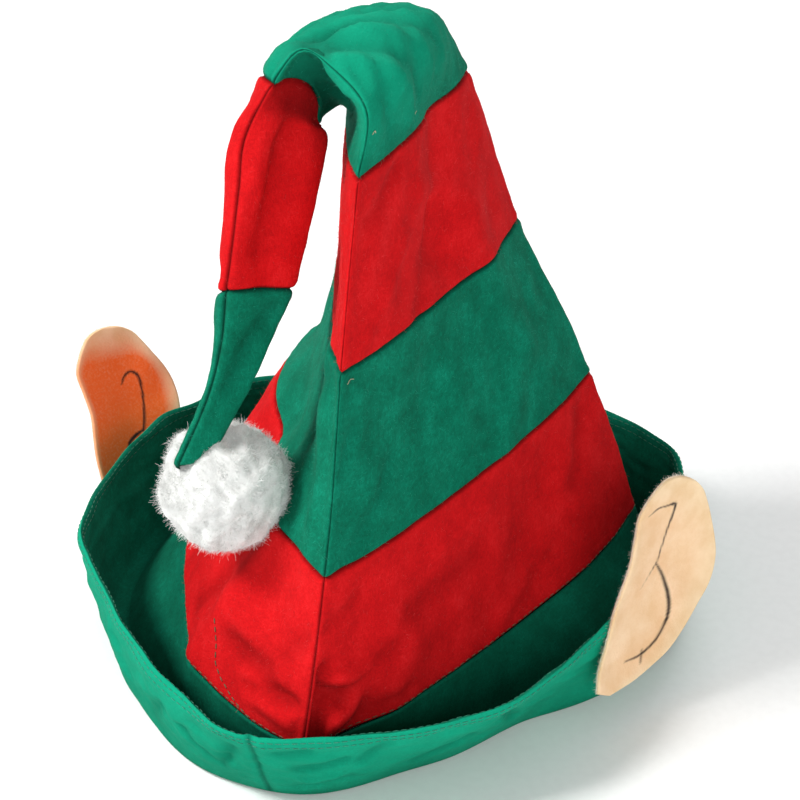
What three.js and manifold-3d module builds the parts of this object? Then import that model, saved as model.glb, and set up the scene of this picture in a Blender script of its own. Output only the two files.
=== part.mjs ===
// Elf hat of sewn felt: a cone of three gores in six stripes whose tip folds over
// and hangs forward to a pompom, a turned-up brim and two pointed ears.
// Millimetres, +Z up, the hat's front towards -Y. Right and left are as seen from its front,
// with right towards +X.
import * as THREE from 'three';
import { mergeVertices } from 'three/addons/utils/BufferGeometryUtils.js';
import Module from 'manifold-3d';

// Crown
const headWide = 172; // opening for the head, from side to side
const headDeep = 214; // opening for the head, from front to back
const seamLift = 32; // height of the seam that joins crown and brim
const crownRise = 250; // from that seam to the level of the fold-over
const feltThick = 1.8;
const sewGap = 0.3; // clearance between neighbouring pieces
const pileGap = 0.4; // clearance of the pompom to the felt it is sewn to and rests on
const foldDepth = 6; // depth of a full fold in the felt
const foldSpan = 78; // length of felt that a fold's width is a share of
const seamCalm = 9; // distance from a seam within which folds die out

// Tail, the part of the cone that hangs down from the fold-over
const tailDrop = 134; // from the fold-over down to the tip
const tailReach = 62; // from the fold-over forward to the tip
const tailWide = 22; // from the tail's middle to its seams

// Brim
const brimReach = 50; // how far the widest rim stands out past the opening
const brimRise = 48;
const brimThick = 2;
const hemThick = 3;
const hemDeep = 7;
const footWide = 11; // flat width that the brim rests on
const footBevel = 2.5;

// Ears
const earLong = 96;
const earWide = 53;
const earThick = 2.4;
const earCup = 4; // how far an ear's middle is hollowed

// Pompom
const pompomWide = 55;
const lockLong = 6;
const lockWide = 15;
const lockCount = 40;

// Crown sections, from the brim's seam (stripe 0) to the end of the fold-over (stripe 4).
// front, right and left are the three sewn seams, as shares of headWide, headDeep and
// crownRise, and full is how far the right, back and left gores bulge between them, as
// shares of their own width.
const crownRows = [
  {
    stripe: 0, front: [0.169, -0.5, 0], right: [0.488, 0.453, 0],
    left: [-0.453, 0.294, 0], full: [0.066, 0.17, 0.22],
  },
  {
    stripe: 0.5, front: [0.17, -0.45, 0.145], right: [0.43, 0.445, 0.135],
    left: [-0.42, 0.3, 0.13], full: [0.05, 0.15, 0.17],
  },
  {
    stripe: 1, front: [0.169, -0.407, 0.284], right: [0.355, 0.435, 0.268],
    left: [-0.355, 0.294, 0.264], full: [0.04, 0.14, 0.1],
  },
  {
    stripe: 1.35, front: [0.165, -0.37, 0.4], right: [0.3, 0.42, 0.37],
    left: [-0.256, 0.255, 0.36], full: [0.04, 0.16, 0.06],
  },
  {
    stripe: 2, front: [0.154, -0.313, 0.608], right: [0.174, 0.388, 0.56],
    left: [-0.209, 0.271, 0.552], full: [0.04, 0.2, 0.03],
  },
  {
    stripe: 3, front: [0.14, -0.22, 0.892], right: [0.087, 0.294, 0.856],
    left: [-0.174, 0.234, 0.784], full: [0.05, 0.25, 0.03],
  },
  {
    stripe: 3.3, front: [0.145, -0.196, 0.992], right: [0.0, 0.276, 0.945],
    left: [-0.116, 0.14, 0.832], full: [0.12, 0.2, 0.04],
  },
  {
    stripe: 3.6, front: [0.035, -0.168, 1.04], right: [-0.11, 0.2, 0.96],
    left: [-0.087, 0.047, 0.864], full: [0.1, 0.16, 0.04],
  },
  {
    stripe: 3.8, front: [-0.04, -0.154, 1.044], right: [-0.18, 0.07, 0.936],
    left: [-0.076, -0.014, 0.874], full: [0.12, 0.14, 0.06],
  },
  {
    stripe: 4, front: [-0.094, -0.173, 0.988], right: [-0.213, -0.009, 0.908],
    left: [-0.062, -0.05, 0.876], full: [0.12, 0.14, 0.08],
  },
];

// Tail sections after the fold-over: the middle's way to the side, forward and down from
// there, as shares of tailReach and tailDrop, and its size as a share of tailWide.
const tailRows = [
  { stripe: 4.25, side: -0.045, ahead: 0.13, drop: 0.11, wide: 0.96 },
  { stripe: 4.5, side: -0.035, ahead: 0.25, drop: 0.24, wide: 0.93 },
  { stripe: 4.75, side: -0.035, ahead: 0.37, drop: 0.385, wide: 0.87 },
  { stripe: 5, side: -0.04, ahead: 0.48, drop: 0.51, wide: 0.8 },
  { stripe: 5.33, side: -0.06, ahead: 0.6, drop: 0.655, wide: 0.6 },
  { stripe: 5.66, side: -0.11, ahead: 0.75, drop: 0.806, wide: 0.47 },
  { stripe: 6, side: -0.23, ahead: 0.98, drop: 1, wide: 0.37 },
];
// The tail's three seams about its middle, as shares of its size, and its fullness
const tailSeams = { front: [0, -0.95, 0.5], right: [-0.72, 0.4, -0.45], left: [0.85, 0.55, -0.05] };
const tailFull = [0.14, 0.14, 0.1];
const fullCurve = 3; // how squarely a gore bulges between its seams

// Folds and dents in the felt: a line from one place to another, each given by the gore
// (0 to 1 right, 1 to 2 back, 2 to 3 left, from seam to seam) and the stripe, its height
// as a share of foldDepth (less than 0 goes in) and its width as a share of foldSpan.
const folds = [
  { from: [2.72, 0.05], to: [2.8, 0.95], height: 0.8, wide: 0.11 },
  { from: [2.86, 0.1], to: [2.88, 0.8], height: -0.35, wide: 0.13 },
  { from: [2.93, 1.2], to: [2.85, 1.9], height: 0.6, wide: 0.12 },
  { from: [0.12, 0.2], to: [0.1, 0.5], height: -0.5, wide: 0.13 },
  { from: [0.2, 0.1], to: [0.24, 0.35], height: 0.5, wide: 0.14 },
  { from: [0.62, 0.35], to: [0.7, 0.6], height: -1, wide: 0.22 },
  { from: [0.3, 1.3], to: [0.42, 1.7], height: -0.6, wide: 0.2 },
  { from: [0.75, 1.5], to: [0.7, 2.3], height: 0.6, wide: 0.15 },
  { from: [0.5, 2.3], to: [0.62, 2.9], height: -0.8, wide: 0.17 },
  { from: [0.3, 3.35], to: [0.55, 3.0], height: -0.5, wide: 0.06 },
  { from: [0.25, 3.6], to: [0.65, 3.2], height: 0.45, wide: 0.06 },
  { from: [0.35, 3.8], to: [0.75, 3.4], height: -0.45, wide: 0.06 },
  { from: [1.4, 0.3], to: [1.6, 0.8], height: -0.8, wide: 0.2 },
  { from: [1.5, 1.4], to: [1.45, 2.4], height: 0.8, wide: 0.16 },
  { from: [2.35, 0.4], to: [2.4, 1.1], height: -0.9, wide: 0.2 },
  { from: [2.5, 4.2], to: [2.55, 4.9], height: -0.6, wide: 0.1 },
];

// Brim stations: the angle round the hat from its front, how far foot and rim stand out
// past the opening's oval as shares of brimReach, and the rim's height as a share of brimRise.
const brimRows = [
  { angle: 0, foot: 0, rim: 0.34, rise: 1 },
  { angle: 15, foot: -0.03, rim: 0.31, rise: 1 },
  { angle: 35, foot: -0.15, rim: 0.36, rise: 1 },
  { angle: 50, foot: -0.11, rim: 0.42, rise: 1 },
  { angle: 75, foot: 0.02, rim: 0.44, rise: 1 },
  { angle: 92, foot: 0.38, rim: 0.5, rise: 1 },
  { angle: 112, foot: 0.86, rim: 0.8, rise: 1 },
  { angle: 128, foot: 1, rim: 1, rise: 1 },
  { angle: 145, foot: 0.98, rim: 1.08, rise: 1 },
  { angle: 165, foot: 0.66, rim: 0.78, rise: 1 },
  { angle: 180, foot: 0.42, rim: 0.56, rise: 1 },
  { angle: 200, foot: 0.42, rim: 0.54, rise: 1 },
  { angle: 230, foot: 0.66, rim: 0.82, rise: 1 },
  { angle: 245, foot: 0.68, rim: 0.86, rise: 1 },
  { angle: 264, foot: 0.63, rim: 0.78, rise: 1 },
  { angle: 282, foot: 0.54, rim: 0.72, rise: 1 },
  { angle: 295, foot: 0.44, rim: 0.61, rise: 1 },
  { angle: 313, foot: 0.22, rim: 0.33, rise: 1 },
  { angle: 331, foot: 0.08, rim: 0.2, rise: 1 },
  { angle: 349, foot: 0.04, rim: 0.2, rise: 0.97 },
];

// An ear's outline from its lower tip to its upper one: the front and back edges beside the
// line between the tips, as shares of earWide.
const earRows = [
  { along: 0, front: -0.05, back: 0.09 },
  { along: 0.08, front: -0.115, back: 0.29 },
  { along: 0.2, front: -0.145, back: 0.5 },
  { along: 0.34, front: -0.2, back: 0.645 },
  { along: 0.47, front: -0.217, back: 0.71 },
  { along: 0.58, front: -0.23, back: 0.745 },
  { along: 0.7, front: -0.29, back: 0.69 },
  { along: 0.78, front: -0.33, back: 0.6 },
  { along: 0.86, front: -0.3, back: 0.46 },
  { along: 0.93, front: -0.21, back: 0.3 },
  { along: 1, front: -0.05, back: 0.12 },
];
// Each ear's lower tip, as shares of brimReach past the opening's side, of headDeep and of
// brimRise, and how it turns about Z, leans about Y and tips about X, in degrees.
const earPlaces = [
  { name: 'ear_right', hand: 1, out: 0.58, back: -0.05, lift: 0.39, turn: 61, lean: 33, tip: -10 },
  { name: 'ear_left', hand: -1, out: -0.845, back: 0.047, lift: 0.08, turn: 56, lean: 12, tip: -27 },
];

// The pompom's middle from the tail's tip, as shares of its width
const pompomHang = { side: 0.15, back: 0.23, down: 0.33 };

const gores = ['right', 'back', 'left'];
const stripes = [
  { rows: 7, columns: [10, 8, 10] },
  { rows: 7, columns: [10, 8, 10] },
  { rows: 7, columns: [10, 8, 10] },
  { rows: 10, columns: [10, 8, 10] },
  { rows: 6, columns: [8, 6, 8] },
  { rows: 6, columns: [8, 6, 8] },
];
const brimWallRows = 4;
const earColumns = 7;

// The strips that make up the brim, each from one bend of its cross-section to the next
const brimStrips = [
  { name: 'brim_band', first: 0, last: 2 },
  { name: 'brim_foot', first: 2, last: 5 },
  { name: 'brim_wall', first: 5, last: 5 + brimWallRows },
];

const redFelt = new THREE.MeshStandardMaterial({ color: 0xb81a1e, roughness: 0.95, metalness: 0 });
const greenFelt = new THREE.MeshStandardMaterial({ color: 0x0f8a68, roughness: 0.95, metalness: 0 });
const earFoam = new THREE.MeshStandardMaterial({ color: 0xe1bb8d, roughness: 0.85, metalness: 0 });
const whitePile = new THREE.MeshStandardMaterial({ color: 0xeff0ec, roughness: 1, metalness: 0 });

// Smooth curve through the values at rising keys, with level-headed ends
function curveAt(keys, values, at) {
  const last = keys.length - 1;
  let i = 0;
  while (i < last - 1 && at > keys[i + 1]) {
    i += 1;
  }
  const slope = (k) => {
    const before = Math.max(k - 1, 0);
    const after = Math.min(k + 1, last);
    return (values[after] - values[before]) / (keys[after] - keys[before]);
  };
  const span = keys[i + 1] - keys[i];
  const t = (at - keys[i]) / span;
  const startSlope = slope(i) * span;
  const endSlope = slope(i + 1) * span;
  const rise = values[i + 1] - values[i];
  const bend = 3 * rise - 2 * startSlope - endSlope;
  const turn = startSlope + endSlope - 2 * rise;
  return values[i] + t * (startSlope + t * (bend + t * turn));
}

// The crown's and tail's sections as points in space, one list of numbers for each
function sectionList() {
  const inCrown = ([side, back, rise]) => [side * headWide, back * headDeep, seamLift + rise * crownRise];
  const list = crownRows.map((row) => ({
    stripe: row.stripe,
    values: [...inCrown(row.front), ...inCrown(row.right), ...inCrown(row.left), ...row.full],
  }));
  const end = list[list.length - 1].values;
  const root = [0, 1, 2].map((axis) => (end[axis] + end[axis + 3] + end[axis + 6]) / 3);
  for (const row of tailRows) {
    const middle = [
      root[0] + row.side * tailReach,
      root[1] - row.ahead * tailReach,
      root[2] - row.drop * tailDrop,
    ];
    const size = row.wide * tailWide;
    const seam = (offset) => offset.map((share, axis) => middle[axis] + share * size);
    list.push({
      stripe: row.stripe,
      values: [...seam(tailSeams.front), ...seam(tailSeams.right), ...seam(tailSeams.left), ...tailFull],
    });
  }
  return list;
}
const sections = sectionList();
const sectionKeys = sections.map((section) => section.stripe);

function sectionAt(stripe) {
  const numbers = sections[0].values.map((_, column) => (
    curveAt(sectionKeys, sections.map((section) => section.values[column]), stripe)
  ));
  const seams = [0, 3, 6].map((start) => new THREE.Vector3(...numbers.slice(start, start + 3)));
  return { seams, full: numbers.slice(9) };
}

// A point on the smooth cone; around runs 0 to 3 from the front seam over the right,
// back and left gores to the front seam again
function conePoint(stripe, around) {
  const { seams, full } = sectionAt(stripe);
  const turn = ((around % 3) + 3) % 3;
  const gore = Math.floor(turn);
  const share = turn - gore;
  const from = seams[gore];
  const to = seams[(gore + 1) % 3];
  const chord = to.clone().sub(from);
  const axis = seams[1].clone().sub(seams[0]).cross(seams[2].clone().sub(seams[0])).normalize();
  const outward = chord.clone().cross(axis).normalize();
  const swell = full[gore] * chord.length() * (1 - Math.abs(2 * share - 1) ** fullCurve);
  return from.clone().lerp(to, share).addScaledVector(outward, swell);
}

function goreWidth(stripe, around) {
  const { seams } = sectionAt(stripe);
  const gore = Math.floor(((around % 3) + 3) % 3);
  return seams[gore].distanceTo(seams[(gore + 1) % 3]);
}

// How far the folds and dents lift the felt at a place
function foldHeight(stripe, around) {
  const wide = goreWidth(stripe, around);
  let height = 0;
  for (const fold of folds) {
    const place = (spot) => {
      const away = ((((around - spot[0] + 1.5) % 3) + 3) % 3) - 1.5;
      return new THREE.Vector2(away * wide, (stripe - spot[1]) * foldSpan);
    };
    const toStart = place(fold.from);
    const toEnd = place(fold.to);
    const run = toStart.clone().sub(toEnd);
    const share = THREE.MathUtils.clamp(toStart.dot(run) / run.lengthSq(), 0, 1);
    const distance = toStart.addScaledVector(run, -share).length();
    const reach = fold.wide * foldSpan;
    height += fold.height * foldDepth * Math.exp(-((distance / reach) ** 2));
  }
  const share = ((around % 3) + 3) % 1;
  const fromSeam = Math.min(share, 1 - share) * wide;
  return height * (1 - Math.exp(-((fromSeam / seamCalm) ** 2)));
}

const step = 0.01; // share of a gore or stripe over which a slope is measured

// The cone's outward direction at a place, from points before and after it round the hat
function slopeNormal(stripe, before, after) {
  const low = Math.max(stripe - step, 0);
  const high = Math.min(stripe + step, stripes.length);
  const middle = (before + after) / 2;
  const across = conePoint(stripe, after).sub(conePoint(stripe, before));
  const up = conePoint(high, middle).sub(conePoint(low, middle));
  return across.cross(up).normalize();
}

// Direction of the wall's thickness: on a seam it is the mitre between the two gores
function wallDirection(stripe, around) {
  if (Math.abs(around - Math.round(around)) > step) {
    return { direction: slopeNormal(stripe, around - step, around + step), mitre: 1 };
  }
  const before = slopeNormal(stripe, around - step, around);
  const after = slopeNormal(stripe, around, around + step);
  const direction = before.clone().add(after).normalize();
  return { direction, mitre: Math.max(direction.dot(after), 0.35) };
}

function feltPoint(stripe, around) {
  const { direction } = wallDirection(stripe, around);
  return conePoint(stripe, around).addScaledVector(direction, foldHeight(stripe, around));
}

// A closed body from a grid of outer and inner points; wrapped grids close on themselves
function slabGeometry(outer, inner) {
  const rows = outer.length;
  const columns = outer[0].length;
  const points = [...outer.flat(), ...inner.flat()];
  const out = (i, j) => i * columns + j;
  const inn = (i, j) => rows * columns + i * columns + j;
  const faces = [];
  const quad = (a, b, c, d) => faces.push(a, b, c, a, c, d);
  for (let i = 0; i + 1 < rows; i += 1) {
    for (let j = 0; j + 1 < columns; j += 1) {
      quad(out(i, j), out(i, j + 1), out(i + 1, j + 1), out(i + 1, j));
      quad(inn(i, j), inn(i + 1, j), inn(i + 1, j + 1), inn(i, j + 1));
    }
    quad(out(i, 0), out(i + 1, 0), inn(i + 1, 0), inn(i, 0));
    quad(out(i, columns - 1), inn(i, columns - 1), inn(i + 1, columns - 1), out(i + 1, columns - 1));
  }
  for (let j = 0; j + 1 < columns; j += 1) {
    quad(out(0, j + 1), out(0, j), inn(0, j), inn(0, j + 1));
    quad(out(rows - 1, j + 1), inn(rows - 1, j + 1), inn(rows - 1, j), out(rows - 1, j));
  }
  return meshGeometry(points, faces);
}

function meshGeometry(points, faces) {
  const geometry = new THREE.BufferGeometry();
  const numbers = points.flatMap((point) => point.toArray());
  geometry.setAttribute('position', new THREE.Float32BufferAttribute(numbers, 3));
  geometry.setIndex(faces);
  geometry.computeVertexNormals();
  return geometry;
}

// How far half the sewing gap reaches, as a share of a stripe or of a gore, where the felt
// runs from one place towards another
function gapShare(from, towards) {
  const share = Math.hypot(towards[0] - from[0], towards[1] - from[1]);
  const length = conePoint(...from).distanceTo(conePoint(...towards));
  return ((sewGap / 2) * share) / length;
}

// One felt panel of the cone: a stripe's share of one gore, half a gap short of its seams
function panelGeometry(stripe, gore) {
  const { rows, columns } = stripes[stripe];
  const across = columns[gore];
  const outer = [];
  const inner = [];
  for (let i = 0; i <= rows; i += 1) {
    const row = stripe + i / rows;
    const rowWay = i === 0 ? step : (i === rows ? -step : 0);
    outer.push([]);
    inner.push([]);
    for (let j = 0; j <= across; j += 1) {
      const column = gore + j / across;
      const columnWay = j === 0 ? step : (j === across ? -step : 0);
      const { direction, mitre } = wallDirection(row, column);
      const rowShift = rowWay === 0
        ? 0
        : Math.sign(rowWay) * gapShare([row, column], [row + rowWay, column]);
      const columnShift = columnWay === 0
        ? 0
        : (Math.sign(columnWay) * gapShare([row, column], [row, column + columnWay])) / mitre;
      const point = feltPoint(row + rowShift, column + columnShift);
      outer[i].push(point);
      inner[i].push(point.clone().addScaledVector(direction, -feltThick / mitre));
    }
  }
  return slabGeometry(outer, inner);
}

// Places round the cone that fall on a stripe's columns, with that many steps to a column
function stationsAround(stripe, fineness) {
  return gores.flatMap((_, gore) => {
    const steps = fineness * stripes[stripe].columns[gore];
    return Array.from({ length: steps }, (__, j) => gore + j / steps);
  });
}

// Distance from the middle to the oval of the head's opening, at an angle from the front
function ovalRadius(angle) {
  const side = Math.sin(angle) / (headWide / 2);
  const front = Math.cos(angle) / (headDeep / 2);
  return 1 / Math.hypot(side, front);
}

// A column of the brim's table at any angle round the hat, in degrees
function brimValue(column, degrees) {
  const wrapped = [-360, 0, 360].flatMap((turn) => (
    brimRows.map((row) => ({ angle: row.angle + turn, value: row[column] }))
  ));
  return curveAt(wrapped.map((row) => row.angle), wrapped.map((row) => row.value), degrees);
}

// The brim's cross-section at one place round the crown's lower seam: its middle line from
// that seam down to the foot and up to the rim, with half its thickness at each point
function brimSection(around) {
  const seam = feltPoint(0, around);
  const angle = Math.atan2(seam.x, -seam.y);
  const degrees = (THREE.MathUtils.radToDeg(angle) + 360) % 360;
  const oval = ovalRadius(angle);
  const foot = oval + brimValue('foot', degrees) * brimReach;
  const rim = oval + brimValue('rim', degrees) * brimReach;
  const rise = brimValue('rise', degrees) * brimRise;
  const half = brimThick / 2;
  const heel = foot - footWide;
  const top = Math.hypot(seam.x, seam.y) - half;
  const line = [
    { out: top, up: seamLift - sewGap, half },
    { out: (top + heel) / 2, up: (seamLift + footBevel) / 2, half },
    { out: heel, up: half + footBevel, half },
    { out: heel + footBevel, up: half, half },
    { out: foot - footBevel, up: half, half },
    { out: foot, up: half + footBevel, half },
  ];
  const wallBase = half + footBevel;
  const hemStart = 1 - hemDeep / rise;
  for (let k = 1; k <= brimWallRows; k += 1) {
    const share = k < brimWallRows ? (hemStart * k) / (brimWallRows - 1) : 1;
    const belly = Math.sin(Math.PI * share) * half;
    line.push({
      out: THREE.MathUtils.lerp(foot, rim, share) + belly,
      up: THREE.MathUtils.lerp(wallBase, rise, share),
      half: share >= hemStart ? hemThick / 2 : half,
    });
  }
  return { angle, line };
}

// Both faces of the brim's cloth at one place, the trough's side and the other one, from the
// crown's seam to the rim, with the cloth's direction at each point
function brimFaces(around) {
  const { angle, line } = brimSection(around);
  const spot = (out, up) => new THREE.Vector3(Math.sin(angle) * out, -Math.cos(angle) * out, up);
  const trough = [];
  const outside = [];
  const ways = [];
  line.forEach((point, k) => {
    const before = line[Math.max(k - 1, 0)];
    const after = line[Math.min(k + 1, line.length - 1)];
    const first = new THREE.Vector2(point.out - before.out, point.up - before.up).normalize();
    const second = new THREE.Vector2(after.out - point.out, after.up - point.up).normalize();
    const along = first.clone().add(second).normalize();
    const reference = second.lengthSq() > 0 ? second : first;
    const stretch = point.half / Math.max(along.dot(reference), 0.5);
    trough.push(spot(point.out - along.y * stretch, point.up + along.x * stretch));
    outside.push(spot(point.out + along.y * stretch, point.up - along.x * stretch));
    ways.push(spot(along.x, along.y));
  });
  const drop = new THREE.Vector3(0, 0, -sewGap);
  const seam = feltPoint(0, around);
  const { direction, mitre } = wallDirection(0, around);
  trough[0] = seam.clone().add(drop);
  outside[0] = seam.clone().addScaledVector(direction, -feltThick / mitre).add(drop);
  return { trough, outside, ways };
}

// A strip's outline at one place, onward on the trough's side and back on the other one,
// half a clearance short of the bends where it meets the next strips
function stripLoop(around, strip) {
  const { trough, outside, ways } = brimFaces(around);
  const shorten = (face) => face.slice(strip.first, strip.last + 1).map((point, k) => {
    const at = strip.first + k;
    const onward = at === strip.first && at > 0 ? sewGap / 2 : 0;
    const back = at === strip.last && at < face.length - 1 ? sewGap / 2 : 0;
    return point.clone().addScaledVector(ways[at], onward - back);
  });
  return [...shorten(trough), ...shorten(outside).reverse()];
}

function stripGeometry(strip) {
  const loops = stationsAround(0, 2).map((around) => stripLoop(around, strip));
  const long = loops[0].length;
  const faces = [];
  for (let k = 0; k < loops.length; k += 1) {
    const next = (k + 1) % loops.length;
    for (let m = 0; m < long; m += 1) {
      const after = (m + 1) % long;
      const a = k * long + m;
      const b = next * long + m;
      const c = next * long + after;
      const d = k * long + after;
      faces.push(a, c, b, a, d, c);
    }
  }
  return meshGeometry(loops.flat(), faces);
}

// An ear lies in X and Z from its lower tip, its shown face towards -Y
function earGeometry() {
  const faces = [[], []];
  for (const row of earRows) {
    faces.forEach((face) => face.push([]));
    for (let j = 0; j <= earColumns; j += 1) {
      const share = j / earColumns;
      const across = THREE.MathUtils.lerp(row.front, row.back, share) * earWide;
      const hollow = earCup * Math.sin(Math.PI * share) * Math.sin(Math.PI * row.along);
      faces.forEach((face, side) => {
        const spot = new THREE.Vector3(across, hollow + side * earThick, row.along * earLong);
        face[face.length - 1].push(spot);
      });
    }
  }
  return slabGeometry(faces[0], faces[1]);
}

const wasm = await Module();
wasm.setup();

function solidOf(geometry) {
  const bare = geometry.clone();
  bare.deleteAttribute('normal');
  bare.deleteAttribute('uv');
  const merged = mergeVertices(bare);
  const vertProperties = new Float32Array(merged.attributes.position.array);
  const triVerts = new Uint32Array(merged.index.array);
  return new wasm.Manifold(new wasm.Mesh({ numProp: 3, vertProperties, triVerts }));
}

function geometryOf(solid) {
  const mesh = solid.getMesh();
  const geometry = new THREE.BufferGeometry();
  geometry.setAttribute('position', new THREE.BufferAttribute(new Float32Array(mesh.vertProperties), 3));
  geometry.setIndex(new THREE.BufferAttribute(new Uint32Array(mesh.triVerts), 1));
  geometry.computeVertexNormals();
  return geometry;
}

// A stretch of the cone as one solid plug, a little larger than the felt, by which the pompom
// is cut where it meets the cone
function conePlug(start, end, rows) {
  const stations = stationsAround(Math.floor(start), 1);
  const around = stations.length;
  const points = [];
  const middles = [];
  for (let i = 0; i <= rows; i += 1) {
    const stripe = THREE.MathUtils.lerp(start, end, i / rows);
    const ring = stations.map((turn) => {
      const { direction, mitre } = wallDirection(stripe, turn);
      return feltPoint(stripe, turn).addScaledVector(direction, pileGap / mitre);
    });
    points.push(...ring);
    middles.push(ring.reduce((sum, point) => sum.add(point), new THREE.Vector3()).divideScalar(around));
  }
  const onward = middles[rows].clone().sub(middles[rows - 1]).setLength(4 * pileGap);
  for (const point of points.slice(rows * around)) {
    point.add(onward);
  }
  const startMiddle = points.length;
  points.push(middles[0], middles[rows].clone().add(onward));
  const faces = [];
  for (let j = 0; j < around; j += 1) {
    const next = (j + 1) % around;
    for (let i = 0; i < rows; i += 1) {
      const a = i * around + j;
      const b = i * around + next;
      faces.push(a, b, b + around, a, b + around, a + around);
    }
    faces.push(startMiddle, next, j);
    faces.push(startMiddle + 1, rows * around + j, rows * around + next);
  }
  return solidOf(meshGeometry(points, faces));
}

// The pompom: a round core with tapering locks of pile standing out of it all round,
// evenly spread, cut where the tail's tip is sewn into it
function pompomGeometry() {
  const { seams } = sectionAt(6);
  const middle = seams[0].clone().add(seams[1]).add(seams[2]).divideScalar(3);
  middle.x += pompomHang.side * pompomWide;
  middle.y += pompomHang.back * pompomWide;
  middle.z -= pompomHang.down * pompomWide;
  const coreRadius = pompomWide / 2 - lockLong / 2;
  let pile = solidOf(new THREE.IcosahedronGeometry(coreRadius, 2));
  const goldenTurn = Math.PI * (3 - Math.sqrt(5));
  for (let k = 0; k < lockCount; k += 1) {
    const height = 1 - (2 * (k + 0.5)) / lockCount;
    const flat = Math.sqrt(1 - height * height);
    const way = new THREE.Vector3(flat * Math.cos(k * goldenTurn), flat * Math.sin(k * goldenTurn), height);
    const sunk = 2 * lockLong;
    const long = sunk + lockLong * (0.62 + 0.38 * Math.sin(5 * k));
    const lock = new THREE.CylinderGeometry(lockWide * 0.2, lockWide * 0.5, long, 5);
    lock.translate(0, coreRadius - sunk + long / 2, 0);
    lock.applyQuaternion(new THREE.Quaternion().setFromUnitVectors(new THREE.Vector3(0, 1, 0), way));
    pile = pile.add(solidOf(lock));
  }
  const place = new THREE.Matrix4().makeTranslation(middle);
  const placed = solidOf(geometryOf(pile).applyMatrix4(place));
  const tailEnd = conePlug(16 / 3, 6, 4);
  const crownSide = conePlug(2 / 7, 2, 12);
  return geometryOf(placed.subtract(tailEnd).subtract(crownSide));
}

function addPiece(parent, name, geometry, material) {
  const mesh = new THREE.Mesh(geometry, material);
  mesh.name = name;
  parent.add(mesh);
  return mesh;
}

const hat = new THREE.Group();

stripes.forEach((_, stripe) => {
  const felt = stripe % 2 === 0 ? redFelt : greenFelt;
  gores.forEach((gore, index) => {
    addPiece(hat, `stripe_${stripe + 1}_${gore}`, panelGeometry(stripe, index), felt);
  });
});

for (const strip of brimStrips) {
  addPiece(hat, strip.name, stripGeometry(strip), greenFelt);
}

for (const place of earPlaces) {
  const holder = new THREE.Group();
  holder.position.set(
    (place.hand * headWide) / 2 + place.out * brimReach,
    place.back * headDeep,
    place.lift * brimRise,
  );
  const angles = [place.tip, place.lean, place.turn].map((angle) => THREE.MathUtils.degToRad(angle));
  holder.rotation.set(...angles, 'ZYX');
  addPiece(holder, place.name, earGeometry(), earFoam);
  hat.add(holder);
}

addPiece(hat, 'pompom', pompomGeometry(), whitePile);

// The origin is the middle of the ground that the hat covers
const extent = new THREE.Box3().setFromObject(hat, true);
hat.position.set(
  -(extent.min.x + extent.max.x) / 2,
  -(extent.min.y + extent.max.y) / 2,
  -extent.min.z,
);

export default hat;
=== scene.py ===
"""Elf hat of sewn felt: striped cone, folded tail, turned-up brim, two foam ears and a pompom."""

import logging
import math
from dataclasses import dataclass, field
from enum import Enum
from typing import NamedTuple, Sequence

import bmesh
import bpy
import numpy as np
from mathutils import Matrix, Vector


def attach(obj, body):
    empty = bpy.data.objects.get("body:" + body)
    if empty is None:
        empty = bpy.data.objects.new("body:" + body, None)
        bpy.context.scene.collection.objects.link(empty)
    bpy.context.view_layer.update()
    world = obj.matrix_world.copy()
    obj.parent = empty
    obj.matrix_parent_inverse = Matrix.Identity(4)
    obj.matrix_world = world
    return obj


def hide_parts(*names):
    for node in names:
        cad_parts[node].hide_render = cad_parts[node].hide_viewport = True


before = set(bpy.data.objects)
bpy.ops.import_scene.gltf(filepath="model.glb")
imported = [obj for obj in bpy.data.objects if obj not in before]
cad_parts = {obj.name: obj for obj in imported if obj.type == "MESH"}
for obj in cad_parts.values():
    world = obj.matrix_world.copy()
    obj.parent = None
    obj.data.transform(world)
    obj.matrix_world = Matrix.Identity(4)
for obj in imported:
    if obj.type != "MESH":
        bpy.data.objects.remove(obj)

log = logging.getLogger("elf_hat")

Array = np.ndarray
Colour = tuple[float, float, float]
Triple = tuple[float, float, float]
Socket = bpy.types.NodeSocket

BODY = "root"
GROUND_MIDDLE: Triple = (0.012115, -0.007642, 0.0)  # from the opening's middle to the origin


class Gore(Enum):
    """The three stitched sectors of the cone, as seen from its front."""

    RIGHT = 0
    BACK = 1
    LEFT = 2


class Hold(Enum):
    """How a sheet of cloth is held."""

    FOLDED = "folded"
    STRETCHED = "stretched"


class CrownRow(NamedTuple):
    """One section of the crown: its three seams and how far each gore bulges."""

    stripe: float
    front: Triple
    right: Triple
    left: Triple
    full: Triple


class TailRow(NamedTuple):
    """One section of the tail: its middle's way from the fold-over and its size."""

    stripe: float
    side: float
    ahead: float
    drop: float
    wide: float


class Fold(NamedTuple):
    """A fold or dent in the felt, from one (around, stripe) place to another."""

    start: tuple[float, float]
    end: tuple[float, float]
    height: float
    wide: float


class BrimRow(NamedTuple):
    """One station of the brim: how far foot and rim stand out, and the rim's height."""

    angle: float
    foot: float
    rim: float
    rise: float


class EarRow(NamedTuple):
    """One row of an ear's outline: its front and back edges."""

    along: float
    front: float
    back: float


class InkRow(NamedTuple):
    """One point of a drawn line on an ear, with the line's width there."""

    along: float
    across: float
    wide: float


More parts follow.
